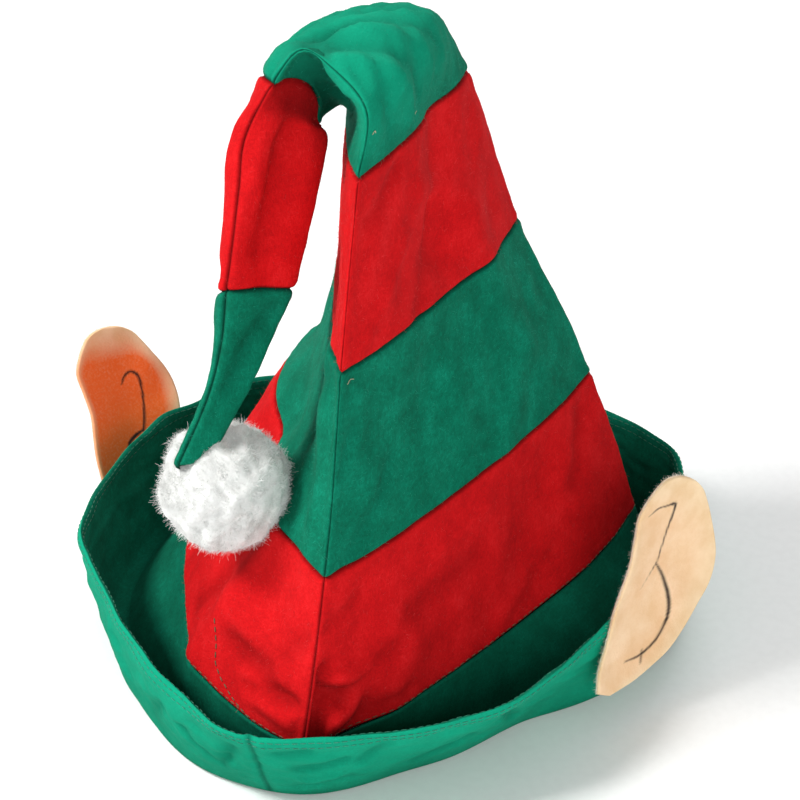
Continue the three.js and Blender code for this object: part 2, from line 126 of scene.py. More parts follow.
CROWN_ROWS: tuple[CrownRow, ...] = (
    CrownRow(0, (0.169, -0.5, 0), (0.488, 0.453, 0), (-0.453, 0.294, 0), (0.066, 0.17, 0.22)),
    CrownRow(0.5, (0.17, -0.45, 0.145), (0.43, 0.445, 0.135), (-0.42, 0.3, 0.13), (0.05, 0.15, 0.17)),
    CrownRow(1, (0.169, -0.407, 0.284), (0.355, 0.435, 0.268), (-0.355, 0.294, 0.264), (0.04, 0.14, 0.1)),
    CrownRow(1.35, (0.165, -0.37, 0.4), (0.3, 0.42, 0.37), (-0.256, 0.255, 0.36), (0.04, 0.16, 0.06)),
    CrownRow(2, (0.154, -0.313, 0.608), (0.174, 0.388, 0.56), (-0.209, 0.271, 0.552), (0.04, 0.2, 0.03)),
    CrownRow(3, (0.14, -0.22, 0.892), (0.087, 0.294, 0.856), (-0.174, 0.234, 0.784), (0.05, 0.25, 0.03)),
    CrownRow(3.3, (0.145, -0.196, 0.992), (0.0, 0.276, 0.945), (-0.116, 0.14, 0.832), (0.12, 0.2, 0.04)),
    CrownRow(3.6, (0.035, -0.168, 1.04), (-0.11, 0.2, 0.96), (-0.087, 0.047, 0.864), (0.1, 0.16, 0.04)),
    CrownRow(3.8, (-0.04, -0.154, 1.044), (-0.18, 0.07, 0.936), (-0.076, -0.014, 0.874), (0.12, 0.14, 0.06)),
    CrownRow(4, (-0.094, -0.173, 0.988), (-0.213, -0.009, 0.908), (-0.062, -0.05, 0.876), (0.12, 0.14, 0.08)),
)

TAIL_ROWS: tuple[TailRow, ...] = (
    TailRow(4.25, -0.045, 0.13, 0.11, 0.96),
    TailRow(4.5, -0.035, 0.25, 0.24, 0.93),
    TailRow(4.75, -0.035, 0.37, 0.385, 0.87),
    TailRow(5, -0.04, 0.48, 0.51, 0.8),
    TailRow(5.33, -0.06, 0.6, 0.655, 0.6),
    TailRow(5.66, -0.11, 0.75, 0.806, 0.47),
    TailRow(6, -0.23, 0.98, 1, 0.37),
)
TAIL_SEAMS: tuple[Triple, ...] = ((0, -0.95, 0.5), (-0.72, 0.4, -0.45), (0.85, 0.55, -0.05))
TAIL_FULL: Triple = (0.14, 0.14, 0.1)

FOLDS: tuple[Fold, ...] = (
    Fold((2.72, 0.05), (2.8, 0.95), 0.8, 0.11),
    Fold((2.86, 0.1), (2.88, 0.8), -0.35, 0.13),
    Fold((2.93, 1.2), (2.85, 1.9), 0.6, 0.12),
    Fold((0.12, 0.2), (0.1, 0.5), -0.5, 0.13),
    Fold((0.2, 0.1), (0.24, 0.35), 0.5, 0.14),
    Fold((0.62, 0.35), (0.7, 0.6), -1, 0.22),
    Fold((0.3, 1.3), (0.42, 1.7), -0.6, 0.2),
    Fold((0.75, 1.5), (0.7, 2.3), 0.6, 0.15),
    Fold((0.5, 2.3), (0.62, 2.9), -0.8, 0.17),
    Fold((0.3, 3.35), (0.55, 3.0), -0.1, 0.06),
    Fold((0.25, 3.6), (0.65, 3.2), 0.25, 0.06),
    Fold((0.35, 3.8), (0.75, 3.4), -0.45, 0.06),
    Fold((1.4, 0.3), (1.6, 0.8), -0.8, 0.2),
    Fold((1.5, 1.4), (1.45, 2.4), 0.8, 0.16),
    Fold((2.35, 0.4), (2.4, 1.1), -0.9, 0.2),
    Fold((2.5, 4.2), (2.55, 4.9), -0.6, 0.1),
)

# Finer creases than the main folds
CREASES: tuple[Fold, ...] = (
    Fold((2.68, 3.5), (2.86, 3.95), -0.8, 0.13),
    Fold((0.04, 3.72), (0.36, 3.68), -0.95, 0.11),
    Fold((0.02, 0.06), (0.022, 0.42), -1.1, 0.05),
    Fold((0.03, 0.3), (0.08, 0.22), -0.75, 0.045),
    Fold((0.03, 0.38), (0.13, 0.33), 0.45, 0.05),
    Fold((0.06, 0.1), (0.1, 0.16), 0.8, 0.07),
    Fold((0.07, 0.04), (0.22, 0.09), -0.4, 0.05),
    Fold((0.12, 0.28), (0.2, 0.38), -0.35, 0.05),
    Fold((0.15, 0.27), (0.2, 0.12), 0.35, 0.045),
    Fold((2.97, 0.22), (2.89, 0.16), -0.8, 0.045),
    Fold((2.97, 0.12), (2.88, 0.2), 0.5, 0.05),
    Fold((2.9, 0.32), (2.8, 0.28), -0.35, 0.06),
    Fold((2.93, 0.42), (2.98, 0.62), -0.3, 0.045),
    Fold((0.02, 0.7), (0.1, 0.78), -0.25, 0.05),
    Fold((0.02, 1.5), (0.06, 1.7), -0.25, 0.04),
    Fold((0.3, 0.75), (0.5, 0.82), 0.3, 0.07),
    Fold((0.25, 0.5), (0.45, 0.55), -0.35, 0.09),
    Fold((0.6, 1.1), (0.75, 1.45), 0.35, 0.1),
    Fold((0.4, 2.7), (0.62, 2.55), 0.35, 0.08),
    Fold((0.1, 2.75), (0.25, 2.9), -0.3, 0.06),
    Fold((2.93, 3.45), (2.93, 3.95), 0.3, 0.05),
    Fold((0.07, 3.3), (0.16, 3.12), -0.25, 0.03),
    Fold((0.06, 3.55), (0.3, 3.1), 0.35, 0.035),
    Fold((0.12, 3.62), (0.4, 3.14), -0.3, 0.035),
    Fold((0.2, 3.7), (0.5, 3.2), 0.3, 0.035),
    Fold((0.3, 3.75), (0.6, 3.25), -0.3, 0.035),
    Fold((0.42, 3.8), (0.68, 3.3), 0.3, 0.035),
    Fold((0.5, 3.9), (0.8, 3.5), -0.25, 0.035),
    Fold((0.06, 1.05), (0.2, 1.4), -0.25, 0.05),
    Fold((0.1, 2.1), (0.28, 2.5), 0.25, 0.05),
    Fold((0.35, 2.05), (0.5, 2.5), -0.3, 0.07),
    Fold((0.5, 0.12), (0.66, 0.3), 0.3, 0.06),
    Fold((0.8, 0.5), (0.9, 0.85), -0.35, 0.06),
    Fold((0.05, 0.25), (0.13, 0.12), -0.45, 0.05),
    Fold((0.02, 0.34), (0.12, 0.3), 0.35, 0.05),
    Fold((2.8, 0.3), (2.95, 0.22), -0.35, 0.05),
    Fold((2.88, 0.1), (2.97, 0.2), 0.35, 0.045),
    Fold((2.6, 1.15), (2.66, 1.7), -0.2, 0.07),
    Fold((2.88, 1.9), (2.68, 1.35), -0.3, 0.05),
    Fold((2.6, 0.12), (2.68, 0.5), -0.35, 0.05),
    Fold((2.3, 5.1), (2.6, 5.6), -0.35, 0.06),
    Fold((2.75, 4.1), (2.8, 4.5), 0.35, 0.06),
    Fold((2.55, 4.15), (2.7, 4.8), -0.35, 0.06),
    Fold((0.5, 4.15), (0.55, 4.95), -0.75, 0.11),
    Fold((0.2, 4.2), (0.26, 4.8), 0.3, 0.06),
    Fold((0.5, 5.1), (0.55, 5.6), -0.3, 0.05),
    Fold((2.4, 3.3), (2.5, 3.7), -0.35, 0.06),
    Fold((1.3, 1.1), (1.4, 1.8), -0.5, 0.12),
    Fold((1.6, 2.3), (1.7, 2.9), 0.5, 0.12),
    Fold((1.2, 3.3), (1.7, 3.6), -0.5, 0.06),
    Fold((1.15, 3.6), (1.8, 3.8), 0.4, 0.05),
)

# Creases of the brim's wall, from one (degrees round, way up) place to another
BRIM_CREASES: tuple[Fold, ...] = (
    Fold((11, 0.75), (17, 0.8), -0.35, 0.05),
    Fold((14, 0.5), (24, 0.62), -0.4, 0.045),
    Fold((16, 0.3), (22, 0.38), 0.35, 0.05),
    Fold((13, 0.15), (25, 0.3), -0.35, 0.045),
    Fold((27, 0.55), (32, 0.85), -0.3, 0.05),
    Fold((-2, 0.3), (2, 0.7), -0.35, 0.05),
    Fold((-12, 0.5), (-5, 0.35), -0.3, 0.05),
    Fold((-26, 0.2), (-18, 0.6), -0.3, 0.06),
    Fold((-45, 0.6), (-38, 0.3), 0.3, 0.07),
    Fold((40, 0.25), (52, 0.5), -0.35, 0.06),
    Fold((60, 0.7), (66, 0.35), -0.4, 0.06),
    Fold((-100, 0.3), (-92, 0.6), -0.3, 0.07),
)

BRIM_ROWS: tuple[BrimRow, ...] = (
    BrimRow(0, 0, 0.34, 1),
    BrimRow(15, -0.03, 0.31, 1),
    BrimRow(35, -0.15, 0.36, 1),
    BrimRow(50, -0.11, 0.42, 1),
    BrimRow(75, 0.02, 0.44, 1),
    BrimRow(92, 0.38, 0.5, 1),
    BrimRow(112, 0.86, 0.8, 1),
    BrimRow(128, 1, 1, 1),
    BrimRow(145, 0.98, 1.08, 1),
    BrimRow(165, 0.66, 0.78, 1),
    BrimRow(180, 0.42, 0.56, 1),
    BrimRow(200, 0.42, 0.54, 1),
    BrimRow(230, 0.66, 0.82, 1),
    BrimRow(245, 0.68, 0.86, 1),
    BrimRow(264, 0.63, 0.78, 1),
    BrimRow(282, 0.54, 0.72, 1),
    BrimRow(295, 0.44, 0.61, 1),
    BrimRow(313, 0.22, 0.33, 1),
    BrimRow(331, 0.08, 0.2, 1),
    BrimRow(349, 0.04, 0.2, 0.97),
)

EAR_ROWS: tuple[EarRow, ...] = (
    EarRow(0, -0.05, 0.09),
    EarRow(0.08, -0.115, 0.29),
    EarRow(0.2, -0.145, 0.5),
    EarRow(0.34, -0.2, 0.645),
    EarRow(0.47, -0.217, 0.71),
    EarRow(0.58, -0.23, 0.745),
    EarRow(0.7, -0.29, 0.69),
    EarRow(0.78, -0.33, 0.6),
    EarRow(0.86, -0.3, 0.46),
    EarRow(0.93, -0.245, 0.335),
    EarRow(0.965, -0.19, 0.26),
    EarRow(0.985, -0.12, 0.18),
    EarRow(0.996, -0.05, 0.11),
    EarRow(1, 0.015, 0.055),
)


def unit(vectors: Array) -> Array:
    """Vectors of length one.

    Args:
        vectors: An array whose last axis holds x, y and z.

    Returns:
        The same array, with each vector divided by its length.
    """
    return vectors / np.maximum(np.linalg.norm(vectors, axis=-1, keepdims=True), 1e-12)


def curve_at(keys: Array, values: Array, at: Array) -> Array:
    """Smooth curve through the values at rising keys.

    Args:
        keys: The rising keys, one for each value.
        values: The values, one row for each key.
        at: The places to read, in any shape.

    Returns:
        The values there, in the shape of at with the row's numbers last.
    """
    last = len(keys) - 1
    i = np.clip(np.searchsorted(keys, at, side="left") - 1, 0, last - 1)
    before, after = np.maximum(np.arange(last + 1) - 1, 0), np.minimum(np.arange(last + 1) + 1, last)
    slopes = (values[after] - values[before]) / (keys[after] - keys[before])[:, None]
    span = (keys[i + 1] - keys[i])[..., None]
    t = ((at - keys[i])[..., None]) / span
    start, end = slopes[i] * span, slopes[i + 1] * span
    rise = values[i + 1] - values[i]
    return values[i] + t * (start + t * (3 * rise - 2 * start - end + t * (start + end - 2 * rise)))


def ripple(points: Array, size: float, seed: int) -> Array:
    """Smooth, even unevenness in space, from -1 to 1.

    Args:
        points: Places in space.
        size: The usual distance from one hump to the next, in metres.
        seed: Picks one of many such fields.

    Returns:
        One height for each place.
    """
    rng = np.random.default_rng(seed)
    ways = unit(rng.normal(size=(9, 3))) * (2 * math.pi / size) * rng.uniform(0.6, 1.5, (9, 1))
    starts = rng.uniform(0, 2 * math.pi, 9)
    return np.sin(points @ ways.T + starts).sum(-1) / 4.2


def drawn_out(points: Array, way: Triple, times: float) -> Array:
    """Places pressed together along one way, so that a ripple in them is drawn out along it.

    Args:
        points: Places in space.
        way: The way, of any length.
        times: How many times longer the ripple gets.

    Returns:
        The pressed places.
    """
    along = unit(np.array(way))
    return points - (1 - 1 / times) * (points @ along)[..., None] * along


def graded(length: float, step: float, fine: Sequence[float]) -> Array:
    """Shares of a length, close together near both ends.

    Args:
        length: The whole length, in metres.
        step: The widest step in the middle, in metres.
        fine: Distances from either end at which a share is wanted, rising from 0.

    Returns:
        Rising shares from 0 to 1.
    """
    edge = [d for d in fine if d < length * 0.45]
    inner = max(length - 2 * edge[-1], 1e-6)
    count = max(2, math.ceil(inner / step))
    middle = edge[-1] + inner * np.arange(1, count) / count
    return np.array([*edge, *middle, *(length - d for d in reversed(edge))]) / length


@dataclass
class Cone:
    """The cone of three gores: crown, fold-over and tail, as one smooth surface."""

    head_wide: float = 0.172
    head_deep: float = 0.214
    seam_lift: float = 0.032
    crown_rise: float = 0.25
    felt_thick: float = 0.0018
    fold_depth: float = 0.006
    fold_span: float = 0.078
    seam_calm: float = 0.009
    tail_drop: float = 0.134
    tail_reach: float = 0.062
    tail_wide: float = 0.022
    full_curve: float = 3
    step: float = 0.01
    keys: Array = field(init=False)
    values: Array = field(init=False)

    def __post_init__(self) -> None:
        """Works out the sections as seam points in space."""
        size = np.array([self.head_wide, self.head_deep, self.crown_rise])
        lift = np.array([0, 0, self.seam_lift])
        rows = [
            np.concatenate([*(np.array(seam) * size + lift for seam in (r.front, r.right, r.left)), r.full])
            for r in CROWN_ROWS
        ]
        root = rows[-1][:9].reshape(3, 3).mean(0)
        for r in TAIL_ROWS:
            way = np.array([r.side * self.tail_reach, -r.ahead * self.tail_reach, -r.drop * self.tail_drop])
            seams = [root + way + np.array(seam) * r.wide * self.tail_wide for seam in TAIL_SEAMS]
            rows.append(np.concatenate([*seams, TAIL_FULL]))
        self.keys = np.array([r.stripe for r in CROWN_ROWS] + [r.stripe for r in TAIL_ROWS])
        self.values = np.array(rows)

    def smooth(self, stripe: Array, gore: int, share: Array) -> Array:
        """Points on the cone without folds.

        Args:
            stripe: How far up the cone, 0 to 6.
            gore: The gore's number.
            share: How far across the gore, 0 to 1.

        Returns:
            Points from the middle of the opening, in metres.
        """
        stripe, share = np.broadcast_arrays(np.asarray(stripe, float), np.asarray(share, float))
        rows = curve_at(self.keys, self.values, stripe)
        seams, full = rows[..., :9].reshape(*stripe.shape, 3, 3), rows[..., 9 + gore]
        start, end = seams[..., gore, :], seams[..., (gore + 1) % 3, :]
        chord = end - start
        axis = unit(np.cross(seams[..., 1, :] - seams[..., 0, :], seams[..., 2, :] - seams[..., 0, :]))
        outward = unit(np.cross(chord, axis))
        swell = full * np.linalg.norm(chord, axis=-1) * (1 - np.abs(2 * share - 1) ** self.full_curve)
        return start + chord * share[..., None] + outward * swell[..., None]

    def normal(self, stripe: Array, gore: int, share: Array) -> Array:
        """The smooth cone's outward direction, never read across a seam.

        Args:
            stripe: How far up the cone.
            gore: The gore's number.
            share: How far across the gore.

        Returns:
            Directions of length one.
        """
        low, high = np.maximum(stripe - self.step, 0), np.minimum(stripe + self.step, 6)
        first, second = np.maximum(share - self.step, 0), np.minimum(share + self.step, 1)
        across = self.smooth(stripe, gore, second) - self.smooth(stripe, gore, first)
        up = self.smooth(high, gore, share) - self.smooth(low, gore, share)
        return unit(np.cross(across, up))

    def gore_width(self, stripe: Array, gore: int) -> Array:
        """Straight width of a gore, seam to seam.

        Args:
            stripe: How far up the cone.
            gore: The gore's number.

        Returns:
            Widths in metres.
        """
        ends = self.smooth(stripe, gore, np.ones_like(stripe)) - self.smooth(stripe, gore, np.zeros_like(stripe))
        return np.linalg.norm(ends, axis=-1)

    def fold_height(
        self, stripe: Array, gore: int, share: Array, folds: Sequence[Fold], calm: float
    ) -> Array:
        """How far folds lift the felt.

        Args:
            stripe: How far up the cone.
            gore: The gore's number.
            share: How far across the gore.
            folds: The folds to add up.
            calm: Distance from a seam within which they die out, in metres.

        Returns:
            Heights in metres.
        """
        wide = self.gore_width(stripe, gore)
        around = gore + share
        height = np.zeros_like(stripe)
        for fold in folds:
            middle = (fold.start[0] + fold.end[0]) / 2
            away = (around - middle + 1.5) % 3 - 1.5 + middle
            start, end = (
                np.stack([(away - at) * wide, (stripe - level) * self.fold_span], -1)
                for at, level in (fold.start, fold.end)
            )
            run = start - end
            length = np.maximum((run**2).sum(-1), 1e-12)
            part = np.clip((start * run).sum(-1) / length, 0, 1)
            distance = np.linalg.norm(start - run * part[..., None], axis=-1)
            height += fold.height * self.fold_depth * np.exp(-((distance / (fold.wide * self.fold_span)) ** 2))
        from_seam = np.minimum(share, 1 - share) * wide
        return height * (1 - np.exp(-((from_seam / calm) ** 2)))

    def felt(self, stripe: Array, gore: int, share: Array) -> Array:
        """Points on the felt's outer face, with its main folds.

        Args:
            stripe: How far up the cone.
            gore: The gore's number.
            share: How far across the gore.

        Returns:
            The points.
        """
        direction = self.normal(stripe, gore, share)
        height = self.fold_height(stripe, gore, share, FOLDS, self.seam_calm)
        return self.smooth(stripe, gore, share) + direction * height[..., None]

    def seam_direction(self, stripe: Array, seam: int) -> tuple[Array, Array]:
        """The mitre between the two gores that meet at a seam.

        Args:
            stripe: How far up the cone.
            seam: 0 front, 1 right, 2 left.

        Returns:
            The mitre's direction, and the cosine of its angle to either gore's own.
        """
        one, zero = np.ones_like(stripe), np.zeros_like(stripe)
        before = self.normal(stripe, (seam + 2) % 3, one)
        after = self.normal(stripe, seam, zero)
        mitre = unit(before + after)
        return mitre, np.maximum((mitre * after).sum(-1), 0.35)


def mesh_piece(
    name: str, points: Array, faces: Sequence[Sequence[int]], material: bpy.types.Material, shade: bool = True
) -> bpy.types.Object:
    """A new object at the origin, in metres, in the frame of the CAD.

    Args:
        name: The piece's name.
        points: Its points from the middle of the opening.
        faces: Its faces, turned outwards.
        material: Its finish.
        shade: Whether it is shaded smooth.

    Returns:
        The object, linked to the scene.
    """
    mesh = bpy.data.meshes.new(name)
    mesh.from_pydata((points + np.array(GROUND_MIDDLE)).tolist(), [], [list(f) for f in faces])
    mesh.validate()
    mesh.materials.append(material)
    if shade:
        mesh.shade_smooth()
    piece = bpy.data.objects.new(name, mesh)
    bpy.context.scene.collection.objects.link(piece)
    return piece


def add_values(piece: bpy.types.Object, name: str, values: Array) -> None:
    """Stores one number for each point of a piece's mesh.

    Args:
        piece: The piece.
        name: The attribute's name.
        values: The numbers.
    """
    layer = piece.data.attributes.new(name, "FLOAT", "POINT")
    layer.data.foreach_set("value", np.asarray(values, np.float32))


def grid_faces(rows: int, columns: int, start: int = 0, flip: bool = False) -> list[tuple[int, ...]]:
    """Quads of a grid of points.

    Args:
        rows: Rows of points.
        columns: Points in a row.
        start: The first point's number.
        flip: Whether the faces turn the other way.

    Returns:
        The faces, as point numbers.
    """
    faces = []
    for i in range(rows - 1):
        for j in range(columns - 1):
            a = start + i * columns + j
            quad = (a, a + 1, a + 1 + columns, a + columns)
            faces.append(quad[::-1] if flip else quad)
    return faces


def slab_faces(rows: int, columns: int) -> list[tuple[int, ...]]:
    """Faces of a closed slab whose outer grid is followed by its inner one.

    Args:
        rows: Rows of points.
        columns: Points in a row.

    Returns:
        The faces, as point numbers.
    """
    count = rows * columns
    faces = grid_faces(rows, columns) + grid_faces(rows, columns, count, True)
    for i in range(rows - 1):
        a, b = i * columns, (i + 1) * columns
        faces.append((a, b, b + count, a + count))
        a, b = a + columns - 1, b + columns - 1
        faces.append((b, a, a + count, b + count))
    top = (rows - 1) * columns
    for j in range(columns - 1):
        faces.append((j + 1, j, j + count, j + 1 + count))
        faces.append((top + j, top + j + 1, top + j + 1 + count, top + j + count))
    return faces


class NodeTree:
    """Steps that every node tree of the scene is built with."""

    tree: bpy.types.NodeTree

    def node(self, kind: str, **links: object) -> bpy.types.Node:
        """Adds a node and joins or sets its inputs by name.

        Args:
            kind: The node's type.
            **links: For each input, a socket to join it to or a value.

        Returns:
            The node.
        """
        made = self.tree.nodes.new(kind)
        for name, value in links.items():
            self.join(value, made.inputs[name.replace("_", " ")])
        return made

    def join(self, source: object, target: Socket) -> None:
        """Joins a socket to an input, or sets the input's value.

        Args:
            source: A socket or a value.
            target: The input.
        """
        if isinstance(source, Socket):
            self.tree.links.new(source, target)
        else:
            target.default_value = source

    def maths(self, operation: str, first: object, second: object) -> Socket:
        """Arithmetic on two numbers or sockets.

        Args:
            operation: The operation's name.
            first: The first input.
            second: The second input.

        Returns:
            The result's output.
        """
        made = self.tree.nodes.new("ShaderNodeMath")
        made.operation = operation
        self.join(first, made.inputs[0])
        self.join(second, made.inputs[1])
        return made.outputs[0]


class Shader(NodeTree):
    """Builds one procedural material, node by node."""

    def __init__(self, name: str) -> None:
        """Starts a material with its surface shader.

        Args:
            name: The material's name.
        """
        self.material = bpy.data.materials.new(name)
        self.material.use_nodes = True
        self.tree = self.material.node_tree
        self.surface = next(n for n in self.tree.nodes if n.type == "BSDF_PRINCIPLED")

    def place(self, scale: Triple = (1, 1, 1), turn: Triple = (0, 0, 0)) -> Socket:
        """Object coordinates, stretched and turned.

        Args:
            scale: Scale along each axis.
            turn: Turn about each axis, in radians.

        Returns:
            The coordinates' output.
        """
        where = self.node("ShaderNodeTexCoord")
        mapping = self.node("ShaderNodeMapping")
        mapping.inputs["Scale"].default_value = scale
        mapping.inputs["Rotation"].default_value = turn
        self.join(where.outputs["Object"], mapping.inputs["Vector"])
        return mapping.outputs["Vector"]

    def noise(
        self, scale: float, detail: float, place: Socket | None = None, rough: float = 0.5
    ) -> Socket:
        """Noise in space.

        Args:
            scale: Features to a metre.
            detail: Octaves.
            place: Coordinates, or None for plain ones.
            rough: How strong the finer octaves are.

        Returns:
            The noise's value, about 0.5 on average.
        """
        made = self.node("ShaderNodeTexNoise", Scale=scale, Detail=detail, Roughness=rough)
        self.join(place or self.place(), made.inputs["Vector"])
        return made.outputs["Fac"]

    def ramp(self, source: Socket, stops: Sequence[tuple[float, Colour]]) -> Socket:
        """A colour ramp.

        Args:
            source: What it reads, 0 to 1.
            stops: Places and colours, rising.

        Returns:
            The ramp's colour.
        """
        made = self.node("ShaderNodeValToRGB")
        elements = made.color_ramp.elements
        while len(elements) < len(stops):
            elements.new(0.5)
        for element, (at, colour) in zip(elements, stops):
            element.position = at
            element.color = (*colour, 1)
        self.join(source, made.inputs["Fac"])
        return made.outputs["Color"]

    def mix(
        self, share: Socket, first: Socket | Colour, second: Socket | Colour
    ) -> Socket:
        """A mix of two colours, each a socket or a fixed one.

        Args:
            share: How much of the second.
            first: The first colour.
            second: The second colour.

        Returns:
            The mix's colour.
        """
        made = self.node("ShaderNodeMix")
        made.data_type = "RGBA"
        self.join(share, made.inputs["Factor"])
        for socket, value in zip((made.inputs[6], made.inputs[7]), (first, second)):
            if isinstance(value, Socket):
                self.join(value, socket)
            else:
                socket.default_value = (*value, 1)
        return made.outputs[2]

    def bump(
        self, height: Socket, strength: float, distance: float, below: Socket | None = None
    ) -> Socket:
        """A bump on the surface.

        Args:
            height: The height that it reads.
            strength: How much of it counts.
            distance: The height of 1, in metres.
            below: An earlier bump that this one is laid on.

        Returns:
            The bump's direction.
        """
        made = self.node("ShaderNodeBump", Strength=strength, Distance=distance)
        self.join(height, made.inputs["Height"])
        if below is not None:
            self.join(below, made.inputs["Normal"])
        return made.outputs["Normal"]

    def attribute(self, name: str) -> Socket:
        """Reads a value stored on the mesh.

        Args:
            name: The attribute's name.

        Returns:
            Its value.
        """
        made = self.node("ShaderNodeAttribute")
        made.attribute_name = name
        return made.outputs["Fac"]

    def finish(
        self, colour: Socket | Colour, bump: Socket | None, **sockets: object
    ) -> bpy.types.Material:
        """Joins colour and bump to the surface and sets its other sockets.

        Args:
            colour: The base colour, a socket or a fixed one.
            bump: The bump's direction, or None.
            **sockets: The surface's own numbers and colours, by name.

        Returns:
            The material.
        """
        if isinstance(colour, Socket):
            self.join(colour, self.surface.inputs["Base Color"])
        else:
            self.surface.inputs["Base Color"].default_value = (*colour, 1)
        if bump is not None:
            self.join(bump, self.surface.inputs["Normal"])
        for name, value in sockets.items():
            self.surface.inputs[name.replace("_", " ")].default_value = value
        return self.material


@dataclass(frozen=True)
class FeltFinish:
    """Pressed felt: matted short fibres, with painted shade in its seams, creases and hollows and painted highlights
    where light falls on it.
    """

    name: str
    dark: Colour
    middle: Colour
    light: Colour
    shadow_colour: Colour
    highlight_colour: Colour
    fibre: float = 2100
    mottle: float = 70

    def material(self) -> bpy.types.Material:
        """Builds the felt's material, which reads its painted shade and painted highlights from the mesh.

        Returns:
            The material.
        """
        s = Shader(self.name)
        mats = [
            s.noise(self.fibre, 2, s.place(stretch, turn), 0.6)
            for stretch, turn in (
                ((1, 0.22, 0.22), (0.3, 0.5, 0.2)),
                ((0.22, 1, 0.22), (0.8, 0.1, 0.9)),
                ((0.22, 0.22, 1), (0.2, 0.9, 0.5)),
            )
        ]
        web = s.maths("MAXIMUM", s.maths("MAXIMUM", mats[0], mats[1]), mats[2])
        clouds = s.noise(self.mottle, 5, None, 0.62)
        tone = s.maths("ADD", s.maths("MULTIPLY", web, 0.55), s.maths("MULTIPLY", clouds, 0.45))
        colour = s.ramp(tone, ((0.42, self.dark), (0.56, self.middle), (0.7, self.light)))
        # Painted highlight: lighter colour where light falls on the top of the fold-over and on the brim's outer wall
        highlighted = s.mix(s.maths("MULTIPLY", s.attribute("lift"), 0.8), colour, self.highlight_colour)
        # Painted shade: darker colour in seams, crease valleys, the pocket under the fold-over and the brim's trough
        shaded_felt = s.mix(s.maths("MULTIPLY", s.attribute("painted_shade"), 0.85), highlighted, self.shadow_colour)
        lumps = s.noise(420, 3, None, 0.6)
        bump = s.bump(lumps, 0.35, 0.0006)
        bump = s.bump(web, 0.55, 0.0004, bump)
        return s.finish(
            shaded_felt, bump, Roughness=0.95, Specular_IOR_Level=0.08, Sheen_Weight=0.035, Sheen_Roughness=0.4,
            Sheen_Tint=(*self.highlight_colour, 1),
        )


@dataclass(frozen=True)
class FoamFinish:
    """Brushed skin-coloured cloth on foam, tinted darker orange in places, with drawn lines."""

    name: str
    base: Colour
    pale: Colour
    shade: Colour
    ink: Colour

    def material(self) -> bpy.types.Material:
        """Builds the ear's material, which reads the shading and the lines from its mesh.

        Returns:
            The material.
        """
        s = Shader(self.name)
        nap = s.noise(900, 3, None, 0.6)
        clouds = s.noise(90, 4, None, 0.55)
        cloth = s.ramp(clouds, ((0.35, self.base), (0.7, self.pale)))
        orange_tint = s.maths("MULTIPLY", s.attribute("blush"), s.maths("ADD", 0.72, s.maths("MULTIPLY", nap, 0.56)))
        tinted = s.mix(orange_tint, cloth, self.shade)
        drawn = s.mix(s.attribute("ink"), tinted, self.ink)
        bump = s.bump(nap, 0.35, 0.0005)
        return s.finish(drawn, bump, Roughness=0.88, Specular_IOR_Level=0.25, Sheen_Weight=0.2, Sheen_Roughness=0.5)


@dataclass(frozen=True)
class PileFinish:
    """Loose fibres, of a pompom or of a felt's nap."""

    name: str
    dark: Colour
    light: Colour
    sheen: float = 0.3

    def material(self) -> bpy.types.Material:
        """Builds the fibre's material.

        Returns:
            The material.
        """
        s = Shader(self.name)
        colour = s.ramp(s.noise(250, 3), ((0.35, self.dark), (0.6, self.light)))
        return s.finish(
            colour, None, Roughness=0.85, Specular_IOR_Level=0.2, Sheen_Weight=self.sheen, Sheen_Roughness=0.5
        )


@dataclass(frozen=True)
class ThreadFinish:
    """Spun sewing thread."""

    name: str
    dark: Colour
    light: Colour

    def material(self) -> bpy.types.Material:
        """Builds the thread's material.

        Returns:
            The material.
        """
        s = Shader(self.name)
        twist = s.noise(2600, 2)
        colour = s.ramp(twist, ((0.4, self.dark), (0.6, self.light)))
        return s.finish(colour, s.bump(twist, 0.4, 0.0002), Roughness=0.6, Sheen_Weight=0.2)


# Each felt's fourth colour is its painted shade, its fifth its painted highlight and sheen tint
RED_FELT = FeltFinish(
    "red_felt", (0.41, 0.0045, 0.0065), (0.54, 0.006, 0.008), (0.64, 0.014, 0.017), (0.1, 0.001, 0.0015),
    (0.72, 0.05, 0.055),
)
GREEN_FELT = FeltFinish(
    "green_felt", (0.001, 0.095, 0.052), (0.0016, 0.15, 0.085), (0.004, 0.225, 0.135), (0.0003, 0.022, 0.013),
    (0.005, 0.37, 0.215),
)
EAR_FOAM = FoamFinish("ear_foam", (0.74, 0.52, 0.29), (0.84, 0.65, 0.42), (0.86, 0.13, 0.015), (0.018, 0.009, 0.006))
WHITE_PILE = PileFinish("white_pile", (0.66, 0.665, 0.65), (0.76, 0.765, 0.75))
WHITE_CORE = PileFinish("white_core", (0.6, 0.605, 0.59), (0.7, 0.705, 0.69))
EAR_FLUFF = PileFinish("ear_fluff", (0.8, 0.72, 0.6), (0.9, 0.86, 0.78))
RED_NAP = PileFinish("red_nap", (0.45, 0.012, 0.014), (0.7, 0.07, 0.07), 0.1)
GREEN_NAP = PileFinish("green_nap", (0.003, 0.17, 0.1), (0.02, 0.36, 0.24), 0.1)
OLIVE_THREAD = ThreadFinish("olive_thread", (0.05, 0.03, 0.008), (0.14, 0.09, 0.03))
PALE_THREAD = ThreadFinish("pale_thread", (0.45, 0.33, 0.2), (0.62, 0.5, 0.33))
GREEN_THREAD = ThreadFinish("green_thread", (0.001, 0.1, 0.055), (0.003, 0.2, 0.12))
PALE_FLOOR = PileFinish("pale_floor", (0.88, 0.88, 0.88), (0.9, 0.9, 0.9), 0)


